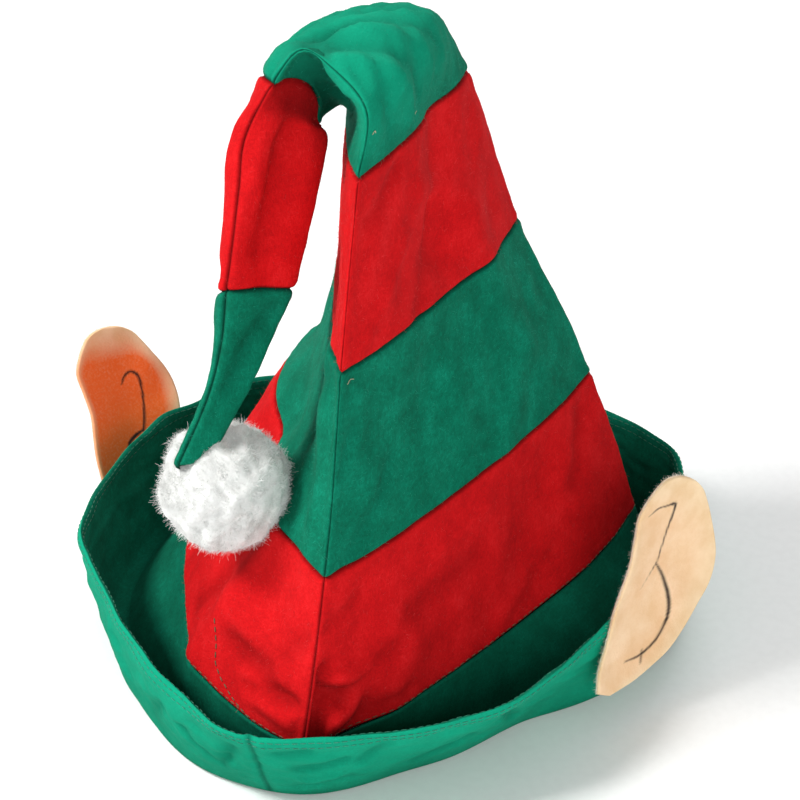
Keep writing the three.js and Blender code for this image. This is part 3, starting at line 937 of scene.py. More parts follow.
class Materials:
    """Builds each finish once and hands it out."""

    def __init__(self) -> None:
        """Starts with no material built."""
        self.made: dict[str, bpy.types.Material] = {}

    def of(self, finish: FeltFinish | FoamFinish | PileFinish | ThreadFinish) -> bpy.types.Material:
        """The finish's material, built at its first use.

        Args:
            finish: The finish.

        Returns:
            The material.
        """
        if finish.name not in self.made:
            self.made[finish.name] = finish.material()
        return self.made[finish.name]


class Repeater(NodeTree):
    """A Geometry Nodes tree with named inputs, run once on a helper mesh."""

    def __init__(self, name: str, inputs: dict[str, tuple[str, object]]) -> None:
        """Starts a tree.

        Args:
            name: The tree's name.
            inputs: For each named input, its socket type and its value.
        """
        self.tree = bpy.data.node_groups.new(name, "GeometryNodeTree")
        self.tree.interface.new_socket("Geometry", in_out="INPUT", socket_type="NodeSocketGeometry")
        self.tree.interface.new_socket("Geometry", in_out="OUTPUT", socket_type="NodeSocketGeometry")
        self.values = {}
        for label, (kind, value) in inputs.items():
            socket = self.tree.interface.new_socket(label, in_out="INPUT", socket_type=kind)
            self.values[socket.identifier] = value
        self.start = self.tree.nodes.new("NodeGroupInput")
        self.end = self.tree.nodes.new("NodeGroupOutput")

    def input(self, name: str) -> Socket:
        """One of the tree's named inputs.

        Args:
            name: Its name.

        Returns:
            Its socket.
        """
        return self.start.outputs[name]

    def vector(self, operation: str, first: object, second: object = None, scale: object = None) -> Socket:
        """Arithmetic on vectors.

        Args:
            operation: The operation's name.
            first: The first vector.
            second: The second vector, if any.
            scale: The factor, if any.

        Returns:
            The result's output.
        """
        made = self.tree.nodes.new("ShaderNodeVectorMath")
        made.operation = operation
        self.join(first, made.inputs[0])
        if second is not None:
            self.join(second, made.inputs[1])
        if scale is not None:
            self.join(scale, made.inputs["Scale"])
        return made.outputs[0]

    def close(self, geometry: Socket) -> None:
        """Ends the tree with Realize Instances and Set Material.

        Args:
            geometry: What is realized.
        """
        real = self.node("GeometryNodeRealizeInstances", Geometry=geometry)
        self.paint(real.outputs["Geometry"])

    def paint(self, geometry: Socket) -> None:
        """Ends the tree with Set Material.

        Args:
            geometry: What is painted.
        """
        painted = self.node("GeometryNodeSetMaterial", Geometry=geometry, Material=self.input("Material"))
        self.tree.links.new(painted.outputs["Geometry"], self.end.inputs["Geometry"])

    def run(self, helper: bpy.types.Object, name: str) -> bpy.types.Object:
        """Runs the tree on a helper and keeps the result as a plain mesh.

        Args:
            helper: The mesh that the tree reads. It is removed afterwards.
            name: The new piece's name.

        Returns:
            The new piece, at the origin.
        """
        modifier = helper.modifiers.new(self.tree.name, "NODES")
        modifier.node_group = self.tree
        for identifier, value in self.values.items():
            modifier[identifier] = value
        shown = helper.evaluated_get(bpy.context.evaluated_depsgraph_get())
        mesh = bpy.data.meshes.new_from_object(shown)
        mesh.name = name
        helper.modifiers.clear()
        piece = bpy.data.objects.new(name, mesh)
        bpy.context.scene.collection.objects.link(piece)
        bpy.data.objects.remove(helper, do_unlink=True)
        return piece


@dataclass(frozen=True)
class Coat:
    """A coat of fibres: how many, how long and thick, how far they lean and wander."""

    count: int
    length: float
    radius: float
    tilt: float
    curl: float
    curl_scale: float
    segments: int
    seed: int


@dataclass(frozen=True)
class Stitch:
    """One kind of stitch: from one to the next, its own length and the thread's diameter."""

    pitch: float
    long: float
    thick: float


NAP_LENGTH, NAP_RADIUS, NAP_TILT = 0.0017, 0.00004, 1.1
BRIM_NAP = Coat(5800, 0.0019, NAP_RADIUS, NAP_TILT, 0.0009, 700, 2, 23)
EAR_RIM_COAT = Coat(700, 0.0018, 0.00005, 1.2, 0.001, 700, 2, 71)
PILE_UNDER = Coat(28000, 0.0026, 0.0001, 1.4, 0.0036, 420, 1, 47)
PILE_OVER = Coat(14000, 0.0034, 0.00005, 1.4, 0.0055, 480, 2, 53)
DARNING = Stitch(0.0034, 0.0027, 0.00055)
EDGE_SEWING = Stitch(0.0036, 0.0028, 0.00042)
LOOSE_END = Stitch(0.0004, 0.0008, 0.00022)
TOPSTITCH = Stitch(0.0032, 0.0026, 0.00036)


def fibres(
    surface: bpy.types.Object, name: str, material: bpy.types.Material, coat: Coat
) -> bpy.types.Object:
    """Fibres that stand on a surface, by Geometry Nodes.

    Args:
        surface: The helper mesh that they stand on. It is removed.
        name: The new piece's name.
        material: The fibres' finish.
        coat: Their number, sizes and seed.

    Returns:
        The fibres as one piece.
    """
    area = sum(p.area for p in surface.data.polygons)
    r = Repeater(
        name + "_tree",
        {
            "Density": ("NodeSocketFloat", coat.count / area),
            "Length": ("NodeSocketFloat", coat.length),
            "Radius": ("NodeSocketFloat", coat.radius),
            "Tilt": ("NodeSocketFloat", coat.tilt),
            "Curl": ("NodeSocketFloat", coat.curl),
            "Curl Scale": ("NodeSocketFloat", coat.curl_scale),
            "Seed": ("NodeSocketInt", coat.seed),
            "Material": ("NodeSocketMaterial", material),
        },
    )
    spots = r.node(
        "GeometryNodeDistributePointsOnFaces", Mesh=r.start.outputs["Geometry"], Density=r.input("Density"),
        Seed=r.input("Seed"),
    )
    fibre = r.node(
        "GeometryNodeMeshCone", Vertices=3, Side_Segments=coat.segments, Radius_Top=coat.radius * 0.25,
        Radius_Bottom=r.input("Radius"), Depth=r.input("Length"),
    )
    fibre.fill_type = "NONE"
    height = r.tree.nodes.new("GeometryNodeInputPosition")
    split = r.node("ShaderNodeSeparateXYZ", Vector=height.outputs["Position"])
    share = r.maths("DIVIDE", split.outputs["Z"], r.input("Length"))
    kept = r.tree.nodes.new("GeometryNodeCaptureAttribute")
    kept.capture_items.new("FLOAT", "Height")
    r.join(fibre.outputs["Mesh"], kept.inputs["Geometry"])
    r.join(share, kept.inputs["Height"])
    lean = r.tree.nodes.new("FunctionNodeRandomValue")
    lean.data_type = "FLOAT_VECTOR"
    low = r.vector("SCALE", (-1, -1, 0), scale=r.input("Tilt"))
    high = r.vector("SCALE", (1, 1, 0), scale=r.input("Tilt"))
    r.join(low, lean.inputs[0])
    r.join(high, lean.inputs[1])
    r.join(r.input("Seed"), lean.inputs["Seed"])
    turned = r.node("FunctionNodeRotateRotation", Rotation=spots.outputs["Rotation"])
    turned.rotation_space = "LOCAL"
    euler = r.node("FunctionNodeEulerToRotation", Euler=lean.outputs[0])
    r.join(euler.outputs[0], turned.inputs["Rotate By"])
    size = r.tree.nodes.new("FunctionNodeRandomValue")
    size.data_type = "FLOAT"
    size.inputs[2].default_value, size.inputs[3].default_value = 0.55, 1.1
    placed = r.node(
        "GeometryNodeInstanceOnPoints", Points=spots.outputs["Points"], Instance=kept.outputs["Geometry"],
        Rotation=turned.outputs[0], Scale=size.outputs[1],
    )
    real = r.node("GeometryNodeRealizeInstances", Geometry=placed.outputs["Instances"])
    where = r.tree.nodes.new("GeometryNodeInputPosition")
    wander = r.node("ShaderNodeTexNoise", Vector=where.outputs["Position"], Scale=r.input("Curl Scale"), Detail=1.0)
    centred = r.vector("SUBTRACT", wander.outputs["Color"], (0.5, 0.5, 0.5))
    reach = r.maths("MULTIPLY", r.maths("POWER", kept.outputs["Height"], 1.3), r.input("Curl"))
    moved = r.vector("SCALE", centred, scale=r.maths("MULTIPLY", reach, 2.0))
    bent = r.node("GeometryNodeSetPosition", Geometry=real.outputs["Geometry"], Offset=moved)
    r.paint(bent.outputs["Geometry"])
    return r.run(surface, name)


def stitches(
    lines: Sequence[Array], name: str, material: bpy.types.Material, stitch: Stitch
) -> bpy.types.Object:
    """Stitches along lines, by Geometry Nodes.

    Args:
        lines: Point rows that the seams follow, from the middle of the opening.
        name: The new piece's name.
        material: The thread's finish.
        stitch: The stitches' sizes.

    Returns:
        The stitches as one piece.
    """
    points, edges = [], []
    for line in lines:
        start = len(points)
        points.extend((np.asarray(line) + np.array(GROUND_MIDDLE)).tolist())
        edges.extend((k, k + 1) for k in range(start, len(points) - 1))
    mesh = bpy.data.meshes.new(name + "_path")
    mesh.from_pydata(points, edges, [])
    helper = bpy.data.objects.new(name + "_path", mesh)
    bpy.context.scene.collection.objects.link(helper)
    r = Repeater(
        name + "_tree",
        {
            "Pitch": ("NodeSocketFloat", stitch.pitch),
            "Stitch Length": ("NodeSocketFloat", stitch.long),
            "Thread": ("NodeSocketFloat", stitch.thick),
            "Material": ("NodeSocketMaterial", material),
        },
    )
    path = r.node("GeometryNodeMeshToCurve", Mesh=r.start.outputs["Geometry"])
    spaced = r.node("GeometryNodeResampleCurve", Curve=path.outputs["Curve"])
    spaced.mode = "LENGTH"
    r.join(r.input("Pitch"), spaced.inputs["Length"])
    bead = r.node("GeometryNodeMeshUVSphere", Segments=6, Rings=5, Radius=0.5)
    size = r.node("ShaderNodeCombineXYZ", X=r.input("Stitch Length"), Y=r.input("Thread"), Z=r.input("Thread"))
    shaped = r.node("GeometryNodeTransform", Geometry=bead.outputs["Mesh"], Scale=size.outputs[0])
    tangent = r.tree.nodes.new("GeometryNodeInputTangent")
    along = r.node("FunctionNodeAlignRotationToVector", Vector=tangent.outputs[0])
    along.axis = "X"
    placed = r.node(
        "GeometryNodeInstanceOnPoints", Points=spaced.outputs["Curve"], Instance=shaped.outputs["Geometry"],
        Rotation=along.outputs[0],
    )
    r.close(placed.outputs["Instances"])
    piece = r.run(helper, name)
    piece.data.shade_smooth()
    return piece


def dress(piece: bpy.types.Object, nodes: Sequence[str] = ()) -> bpy.types.Object:
    """Lets a finished piece ride on the hat, in place of its CAD nodes.

    Args:
        piece: The piece.
        nodes: The CAD nodes that it stands for.

    Returns:
        The piece.
    """
    if nodes:
        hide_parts(*nodes)
    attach(piece, BODY)
    log.info("%s: %d points, %d faces", piece.name, len(piece.data.vertices), len(piece.data.polygons))
    return piece


FINE_EDGE: tuple[float, ...] = (0, 0.0003, 0.0007, 0.0012, 0.0018, 0.0026, 0.0036, 0.005, 0.007)


@dataclass
class StripedCone:
    """Crown and tail: eighteen felt panels with their seams, stitches and nap."""

    cone: Cone
    materials: Materials
    groove: float = 0.0014
    groove_wide: float = 0.0007
    shoulder: float = 0.0003
    crease_calm: float = 0.0028
    pucker: float = 0.0004
    pucker_pitch: float = 0.0085
    weave_step: float = 0.0024
    panel_long: float = 0.075
    hollow_deep: float = 0.0035
    hollow_shade: float = 0.5
    pocket_shade: float = 0.85
    cut_allowance: float = 1.15

    def cross_seam(self, number: int, gore: int, share: Array) -> Array:
        """The stripe value along a seam between two stripes.

        Args:
            number: The seam's number, 0 at the brim to 6 at the tip.
            gore: The gore's number.
            share: How far across the gore.

        Returns:
            The seam's place at each share.
        """
        under_fold = 0.22 * np.sin(np.pi * share**0.8) ** 2 if (number, gore) == (4, Gore.LEFT.value) else 0
        return number - under_fold * np.ones_like(share)

    def relief(
        self, stripe: Array, gore: int, share: Array, points: Array, level: Array
    ) -> tuple[Array, Array]:
        """Small heights that sewing and wear give the felt.

        Args:
            stripe: How far up the cone.
            gore: The gore's number.
            share: How far across the gore.
            points: The places in space.
            level: Way to the nearest seam between stripes, in metres.

        Returns:
            Heights in metres, and how much painted shade each point gets in seams, crease valleys and the pocket
            under the fold-over, 0 to 1.
        """
        wide = self.cone.gore_width(stripe, gore)
        side = np.minimum(share, 1 - share) * wide
        height = self.cone.fold_height(stripe, gore, share, CREASES, self.crease_calm)
        # Painted shade in the crease valleys
        hollow = np.clip(-height / self.hollow_deep, 0, 1) * self.hollow_shade
        waves = ripple(points, self.pucker_pitch, 3)
        for distance in (side, level):
            height -= self.groove * np.exp(-((distance / self.groove_wide) ** 2))
            height += self.shoulder * np.exp(-(((distance - 0.003) / 0.0018) ** 2))
            height += self.pucker * waves * np.exp(-distance / 0.006) * (1 - np.exp(-distance / 0.0012))
        nearest = np.minimum(side, level)
        calm = 1 - np.exp(-((nearest / 0.008) ** 2))
        height += (0.0009 * ripple(points, 0.04, 5) + 0.00025 * ripple(points, 0.014, 7)) * calm
        height += 0.0004 * ripple(drawn_out(points, (-0.2, 0.3, 1), 2.6), 0.019, 9) * calm
        if gore == Gore.RIGHT.value:
            folded_over = np.clip((stripe - 3.0) / 0.25, 0, 1) * np.clip((4.1 - stripe) / 0.2, 0, 1)
            gathers = ripple(drawn_out(points, (0.66, -0.52, -0.55), 6), 0.0075, 21)
            height += 0.0006 * gathers * folded_over * (1 - np.exp(-nearest / 0.002))
        if gore == Gore.LEFT.value:
            pocket = np.clip((stripe - 3.35) / 0.3, 0, 1) * np.clip((4.15 - stripe) / 0.1, 0, 1)
            # Painted shade in the pocket under the fold-over
            hollow = np.maximum(hollow, self.pocket_shade * pocket * np.sin(np.pi * share) ** 0.5)
        # Painted shade along the seams, where the felt dips into them
        return height, np.maximum(hollow, np.exp(-((nearest / 0.0007) ** 2)))

    def panel(self, stripe: int, gore: Gore) -> tuple[Array, Array, Array, int, int]:
        """One felt panel's outer and inner points.

        Args:
            stripe: The stripe's number, 0 to 5.
            gore: The gore.

        Returns:
            Outer points, inner points, the painted shade at each, rows and columns.
        """
        cone, g = self.cone, gore.value
        ends = [cone.smooth(np.array([stripe + k]), g, np.array([0.5]))[0] for k in (0.0, 1.0)]
        long = max(float(np.linalg.norm(ends[1] - ends[0])), 0.05)
        width = float(cone.gore_width(np.array([stripe + 0.3]), g)[0]) * 1.1
        shares, ways = graded(width, self.weave_step, FINE_EDGE), graded(long, self.weave_step, FINE_EDGE)
        rows, columns = len(ways), len(shares)
        way, share = (a.ravel() for a in np.meshgrid(ways, shares, indexing="ij"))
        low, high = self.cross_seam(stripe, g, share), self.cross_seam(stripe + 1, g, share)
        level = low + (high - low) * way
        own = cone.normal(level, g, share)
        base = cone.felt(level, g, share)
        first, second = cone.seam_direction(level, g), cone.seam_direction(level, (g + 1) % 3)
        wide = cone.gore_width(level, g)
        near = [np.clip(1 - d * wide / (2.2 * cone.felt_thick), 0, 1)[:, None] for d in (share, 1 - share)]
        inward = own * np.maximum(1 - near[0] - near[1], 0)
        for weight, (mitre, cosine) in zip(near, (first, second)):
            inward = inward + weight * mitre / cosine[:, None]
        at_seam = np.minimum(near[0] + near[1], 1)
        outward = unit(own * (1 - at_seam) + at_seam * unit(inward))
        height, painted_shade = self.relief(level, g, share, base, np.minimum(way, 1 - way) * long)
        outer = base + outward * height[:, None]
        return outer, outer - inward * cone.felt_thick, painted_shade, rows, columns

    def build(self) -> None:
        """Builds and dresses every panel."""
        for stripe in range(6):
            for gore in Gore:
                outer, inner, painted_shade, rows, columns = self.panel(stripe, gore)
                finish, slot = (RED_FELT, "red_felt") if stripe % 2 == 0 else (GREEN_FELT, "green_felt")
                node = f"stripe_{stripe + 1}_{gore.name.lower()}"
                piece = mesh_piece(
                    node + "_felt", np.concatenate([outer, inner]), slab_faces(rows, columns),
                    self.materials.of(finish),
                )
                # Painted shade in the seams, crease valleys and the pocket under the fold-over
                add_values(piece, "painted_shade", np.concatenate([painted_shade, painted_shade]))
                bare = np.zeros_like(painted_shade)
                # Painted highlight on top of the fold-over, where light falls from above
                top_lit = np.clip((outer[:, 2] - 0.25) / 0.05, 0, 1) * 0.8 if stripe == 3 else bare
                add_values(piece, "lift", np.concatenate([top_lit, bare]))
                dress(piece, (node,))

    def nap(self, count: int, stripes: Sequence[int], name: str, finish: PileFinish, slot: str, seed: int) -> None:
        """Short loose fibres on some stripes.

        Args:
            count: About how many fibres.
            stripes: The stripes' numbers.
            name: The piece's name.
            finish: The fibres' finish.
            slot: Not used.
            seed: The fixed seed.
        """
        points, faces = [], []
        for stripe in stripes:
            for gore in Gore:
                outer, _, _, rows, columns = self.panel(stripe, gore)
                start = sum(len(p) for p in points)
                points.append(outer)
                faces.extend(grid_faces(rows, columns, start))
        material = self.materials.of(finish)
        helper = mesh_piece(name + "_ground", np.concatenate(points), faces, material)
        piece = fibres(helper, name, material, Coat(count, NAP_LENGTH, NAP_RADIUS, NAP_TILT, 0.0008, 700, 2, seed))
        dress(piece)

    def on_felt(self, gore: int, places: Sequence[tuple[float, float]], lift: float, count: int = 40) -> Array:
        """A smooth line just above the felt.

        Args:
            gore: The gore's number.
            places: Its (share, stripe) places.
            lift: How far above the felt it runs.
            count: How many points it has.

        Returns:
            The line's points.
        """
        nodes = np.array(places)
        line = curve_at(np.arange(len(nodes)), nodes, np.linspace(0, len(nodes) - 1, count))
        share, level = line[:, 0], line[:, 1]
        base = self.cone.felt(level, gore, share)
        away = np.abs(level - np.round(level)) * self.panel_long
        height, _ = self.relief(level, gore, share, base, away)
        return base + self.cone.normal(level, gore, share) * (height + lift)[:, None]

    def sew(self) -> None:
        """The darning on the first stripe, the stitches round its lower edge and some thread ends."""
        left, right, back = Gore.LEFT.value, Gore.RIGHT.value, Gore.BACK.value
        olive, pale = self.materials.of(OLIVE_THREAD), self.materials.of(PALE_THREAD)
        darn = self.on_felt(left, ((0.755, 0.32), (0.775, 0.2), (0.79, 0.12), (0.84, 0.055), (0.9, 0.02)), 0.0002)
        low = ((0.01, 0.022), (0.5, 0.022), (0.99, 0.022))
        edge = [self.on_felt(g, low, 0.0001, 120) for g in (right, back, left)]
        dress(stitches([darn], "darning_stitches", olive, DARNING))
        dress(stitches(edge, "edge_stitches", olive, EDGE_SEWING))
        ends = [
            self.on_felt(right, ((0.024, 1.94), (0.034, 1.952), (0.046, 1.944)), 0.0004, 12),
            self.on_felt(right, ((0.34, 3.075), (0.346, 3.095), (0.36, 3.1)), 0.0004, 12),
            self.on_felt(right, ((0.024, 3.185), (0.032, 3.192), (0.036, 3.184)), 0.0004, 12),
        ]
        dress(stitches(ends, "thread_ends", pale, LOOSE_END))


@dataclass
class Brim:
    """The turned-up band, with its hem, topstitching and nap."""

    cone: Cone
    materials: Materials
    reach: float = 0.05
    rise: float = 0.048
    thick: float = 0.002
    hem_thick: float = 0.003
    hem_deep: float = 0.007
    foot_wide: float = 0.011
    foot_bevel: float = 0.0025
    sew_gap: float = 0.0003
    stations: int = 450
    seam_angle: float = 7
    seam_wide: float = 0.0009
    seam_deep: float = 0.0007
    seam_shoulder: float = 0.0006
    stitch_depths: tuple[float, float] = (0.0022, 0.0058)

    def value(self, column: str, degrees: Array) -> Array:
        """A column of the brim's table at any angle round the hat.

        Args:
            column: The column's name.
            degrees: Angles from the front.

        Returns:
            Its values there.
        """
        angles = np.array([r.angle + turn for turn in (-360, 0, 360) for r in BRIM_ROWS], float)
        values = np.array([[getattr(r, column)] for _ in range(3) for r in BRIM_ROWS], float)
        return curve_at(angles, values, degrees)[..., 0]

    def profiles(self) -> tuple[Array, Array, Array]:
        """The band's two faces all round.

        Returns:
            Trough-side points, outer points (stations, rows, 3), and each row's way up the
            outer wall as a share of the rise, or less than 0 below the foot.
        """
        around = np.arange(self.stations) * 3 / self.stations
        seam = np.stack([self.cone.felt(np.zeros(1), int(a), np.array([a - int(a)]))[0] for a in around])
        mitre = self.inside_of_seam(around)
        angle = np.arctan2(seam[:, 0], -seam[:, 1])
        degrees = np.degrees(angle) % 360
        oval = 1 / np.hypot(np.sin(angle) / (self.cone.head_wide / 2), np.cos(angle) / (self.cone.head_deep / 2))
        foot = oval + self.value("foot", degrees) * self.reach
        rim = oval + self.value("rim", degrees) * self.reach
        rise = self.value("rise", degrees) * self.rise
        top = np.hypot(seam[:, 0], seam[:, 1])
        trough, outside, ways = [], [], None
        for k in range(self.stations):
            line, half, way = self.section(top[k], foot[k], rim[k], rise[k])
            slope = np.gradient(line, axis=0)
            turn = unit(np.stack([-slope[:, 1], slope[:, 0]], -1))
            spread = turn * half[:, None]
            way_out = np.array([math.sin(angle[k]), -math.cos(angle[k])])
            for face, sign in ((trough, 1), (outside, -1)):
                flat = line + spread * sign
                face.append(np.column_stack([flat[:, :1] * way_out, flat[:, 1:]]))
            ways = way
        trough, outside = np.array(trough), np.array(outside)
        lip = np.exp(-np.linspace(0, 1, trough.shape[1]) * 18)[None, :, None]
        drop = np.array([0, 0, -self.sew_gap])
        trough += lip * ((seam + drop)[:, None] - trough[:, :1])
        outside += lip * ((seam + mitre + drop)[:, None] - outside[:, :1])
        return trough, outside, ways

    def inside_of_seam(self, around: Array) -> Array:
        """Way from the felt's outer face to its inner one at the lower seam.

        Args:
            around: Places round the seam, in gores.

        Returns:
            One vector for each place.
        """
        rows = []
        for a in around:
            gore, share = int(a), a - int(a)
            zero = np.zeros(1)
            if share < 1e-6:
                mitre, cosine = self.cone.seam_direction(zero, gore)
                rows.append(-mitre[0] * self.cone.felt_thick / cosine[0])
            else:
                rows.append(-self.cone.normal(zero, gore, np.array([share]))[0] * self.cone.felt_thick)
        return np.array(rows)

    def section(self, top: float, foot: float, rim: float, rise: float) -> tuple[Array, Array, Array]:
        """The band's middle line at one station.

        Args:
            top: How far out the crown's seam is.
            foot: How far out the foot is.
            rim: How far out the rim is.
            rise: The rim's height.

        Returns:
            Points (out, up), half the thickness at each, and each point's way up the wall.
        """
        half, bevel = self.thick / 2, self.foot_bevel
        heel, lift = foot - self.foot_wide, self.cone.seam_lift - self.sew_gap
        corners = np.array([
            [top - half, lift], [(top + heel) / 2, (lift + bevel) / 2 + half * 0.6], [heel, half + bevel * 1.3],
            [heel + bevel * 0.9, half + bevel * 0.25], [heel + bevel * 2, half], [foot - bevel * 1.6, half],
            [foot - bevel * 0.5, half + bevel * 0.3], [foot, half + bevel * 1.2],
        ])
        way = np.linspace(0.06, 1, 26)
        belly = np.sin(np.pi * way) * half
        wall = np.column_stack([foot + (rim - foot) * way + belly, half + bevel + (rise - half - bevel) * way])
        keys = np.concatenate([[0], np.cumsum(np.linalg.norm(np.diff(corners, axis=0), axis=1))])
        low = curve_at(keys, corners, np.linspace(0, keys[-1], 30))
        line = np.concatenate([low, wall])
        up = np.concatenate([np.full(len(low), -1.0), way])
        below_rim = (1 - up) * rise
        hem = 1 / (1 + np.exp((below_rim - self.hem_deep) / 0.0005))
        thick = half + hem * (self.hem_thick / 2 - half)
        for line_at in self.stitch_depths:
            thick = thick - 0.0006 * np.exp(-(((below_rim - line_at) / 0.0006) ** 2))
        rounding = np.clip(1 - below_rim / (self.hem_thick / 2), 0, 1)
        thick = thick * np.sqrt(np.maximum(1 - rounding**2, 0.01))
        return line, thick, up

    def build(self) -> None:
        trough, outside, ways = self.profiles()
        high = np.clip(ways, 0, 1)[None, :]
        wall = (ways > 0)[None, :]
        out = unit(np.concatenate([outside[..., :2], np.zeros_like(outside[..., :1])], -1))
        laid, flat = outside * np.array([1, 1, 2.6]), outside * np.array([1, 1, 0])
        sway = (0.0018 * ripple(outside, 0.055, 11) + 0.0007 * ripple(laid, 0.024, 13)) * np.sqrt(high) * wall
        sway = sway + 0.0005 * ripple(laid, 0.011, 15) * np.sin(np.pi * high) * wall
        creased = self.creases(outside, high) * wall
        sway = sway + creased
        dent = 0.0002 * ripple(outside, 0.012, 17) * wall
        from_seam = self.front_seam_distance(outside)
        groove = np.exp(-((from_seam / self.seam_wide) ** 2)) * (ways > 0)
        shoulder = np.exp(-((from_seam - 0.004) / 0.002) ** 2) * wall
        sway = sway - self.seam_deep * groove + self.seam_shoulder * shoulder
        lean = np.array([0, 0, 0.0012]) * (ripple(flat, 0.04, 19) * high[0] ** 2)[..., None]
        trough = trough + out * (sway + dent)[..., None] + lean
        outside = outside + out * sway[..., None] + lean
        rows = np.concatenate([trough, outside[:, ::-1]], 1)
        count, long = rows.shape[:2]
        faces = []
        for k in range(count):
            after = (k + 1) % count
            for m in range(long):
                n = (m + 1) % long
                faces.append((k * long + m, k * long + n, after * long + n, after * long + m))
        points = rows.reshape(-1, 3)
        piece = mesh_piece("brim_felt", points, faces, self.materials.of(GREEN_FELT))
        # Painted highlight: the outer wall lighter, more so towards the rim, where light and sheen fall on it; the
        # trough side barely
        outer_highlight = np.broadcast_to(np.where(ways > 0, 0.35 + 0.45 * np.clip(ways, 0, 1), 0.2), trough.shape[:2])
        add_values(piece, "lift", np.concatenate([outer_highlight * 0.06, outer_highlight[:, ::-1]], 1).ravel())
        # Painted shade: darker low in the trough, along the front seam's groove and in the wall's crease valleys
        shaded = np.broadcast_to(np.where(ways > 0.5, 0.5 - ways, 0.0) + 0.42, trough.shape[:2]).clip(0, 0.42)
        seam = 0.8 * np.exp(-((self.front_seam_distance(outside) / 0.0005) ** 2))
        outer_painted_shade = np.maximum(seam, np.clip(-creased / 0.0016, 0, 1) * 0.3)
        add_values(piece, "painted_shade", np.concatenate([np.maximum(shaded, seam), outer_painted_shade[:, ::-1]], 1).ravel())
        dress(piece, ("brim_band", "brim_foot", "brim_wall"))
        self.topstitch(outside, trough, ways)
        self.nap(trough, outside, ways)

    def creases(self, points: Array, high: Array) -> Array:
        """How far the wall's creases push it outwards.

        Args:
            points: The wall's outer points.
            high: Each row's way up the wall, 0 to 1.

        Returns:
            Heights in metres.
        """
        angle = np.degrees(np.arctan2(points[..., 0], -points[..., 1]))
        around = np.radians(1) * self.cone.head_deep / 2
        height = np.zeros_like(angle)
        for fold in BRIM_CREASES:
            middle = (fold.start[0] + fold.end[0]) / 2
            away = (angle - middle + 180) % 360 - 180 + middle
            start, end = (
                np.stack([(away - at) * around, (high - way) * self.rise * np.ones_like(angle)], -1)
                for at, way in (fold.start, fold.end)
            )
            run = start - end
            part = np.clip((start * run).sum(-1) / (run**2).sum(-1), 0, 1)
            distance = np.linalg.norm(start - run * part[..., None], axis=-1)
            wide = fold.wide * self.cone.fold_span * 0.62
            height += fold.height * self.cone.fold_depth * np.exp(-((distance / wide) ** 2))
        return height * np.sin(np.pi * np.clip(high * 0.9, 0, 1))

    def front_seam_distance(self, points: Array) -> Array:
        """Way round the hat to the brim's own seam, in metres.

        Args:
            points: Points of the brim.

        Returns:
            Distances.
        """
        angle = np.arctan2(points[..., 0], -points[..., 1]) - math.radians(self.seam_angle)
        return np.abs(angle) * np.hypot(points[..., 0], points[..., 1])

    def topstitch(self, outside: Array, trough: Array, ways: Array) -> None:
        """Two rows of stitches below the rim, on both faces.

        Args:
            outside: Outer points.
            trough: Trough-side points.
            ways: Each row's way up the wall.
        """
        lines = []
        for depth in self.stitch_depths:
            row = int(np.argmin(np.abs((1 - ways) * self.rise - depth)))
            for face, other in ((outside, trough), (trough, outside)):
                lift = unit(face[:, row] - other[:, row]) * 0.0001
                line = face[:, row] + lift
                lines.append(np.concatenate([line, line[:1]]))
        thread = self.materials.of(GREEN_THREAD)
        dress(stitches(lines, "brim_topstitch", thread, TOPSTITCH))

    def nap(self, trough: Array, outside: Array, ways: Array) -> None:
        """Loose fibres along the wall and the rim.

        Args:
            trough: Trough-side points.
            outside: Outer points.
            ways: Each row's way up the wall.
        """
        keep = np.flatnonzero(ways > 0.05)
        band = np.concatenate([trough[:, keep], outside[:, keep[::-1]]], 1)
        count, long = band.shape[:2]
        points = np.concatenate([band, band[:1]]).reshape(-1, 3)
        faces = [f[::-1] for f in grid_faces(count + 1, long)]
        material = self.materials.of(GREEN_NAP)
        helper = mesh_piece("brim_nap_ground", points, faces, material)
        piece = fibres(helper, "brim_nap", material, BRIM_NAP)
        dress(piece)


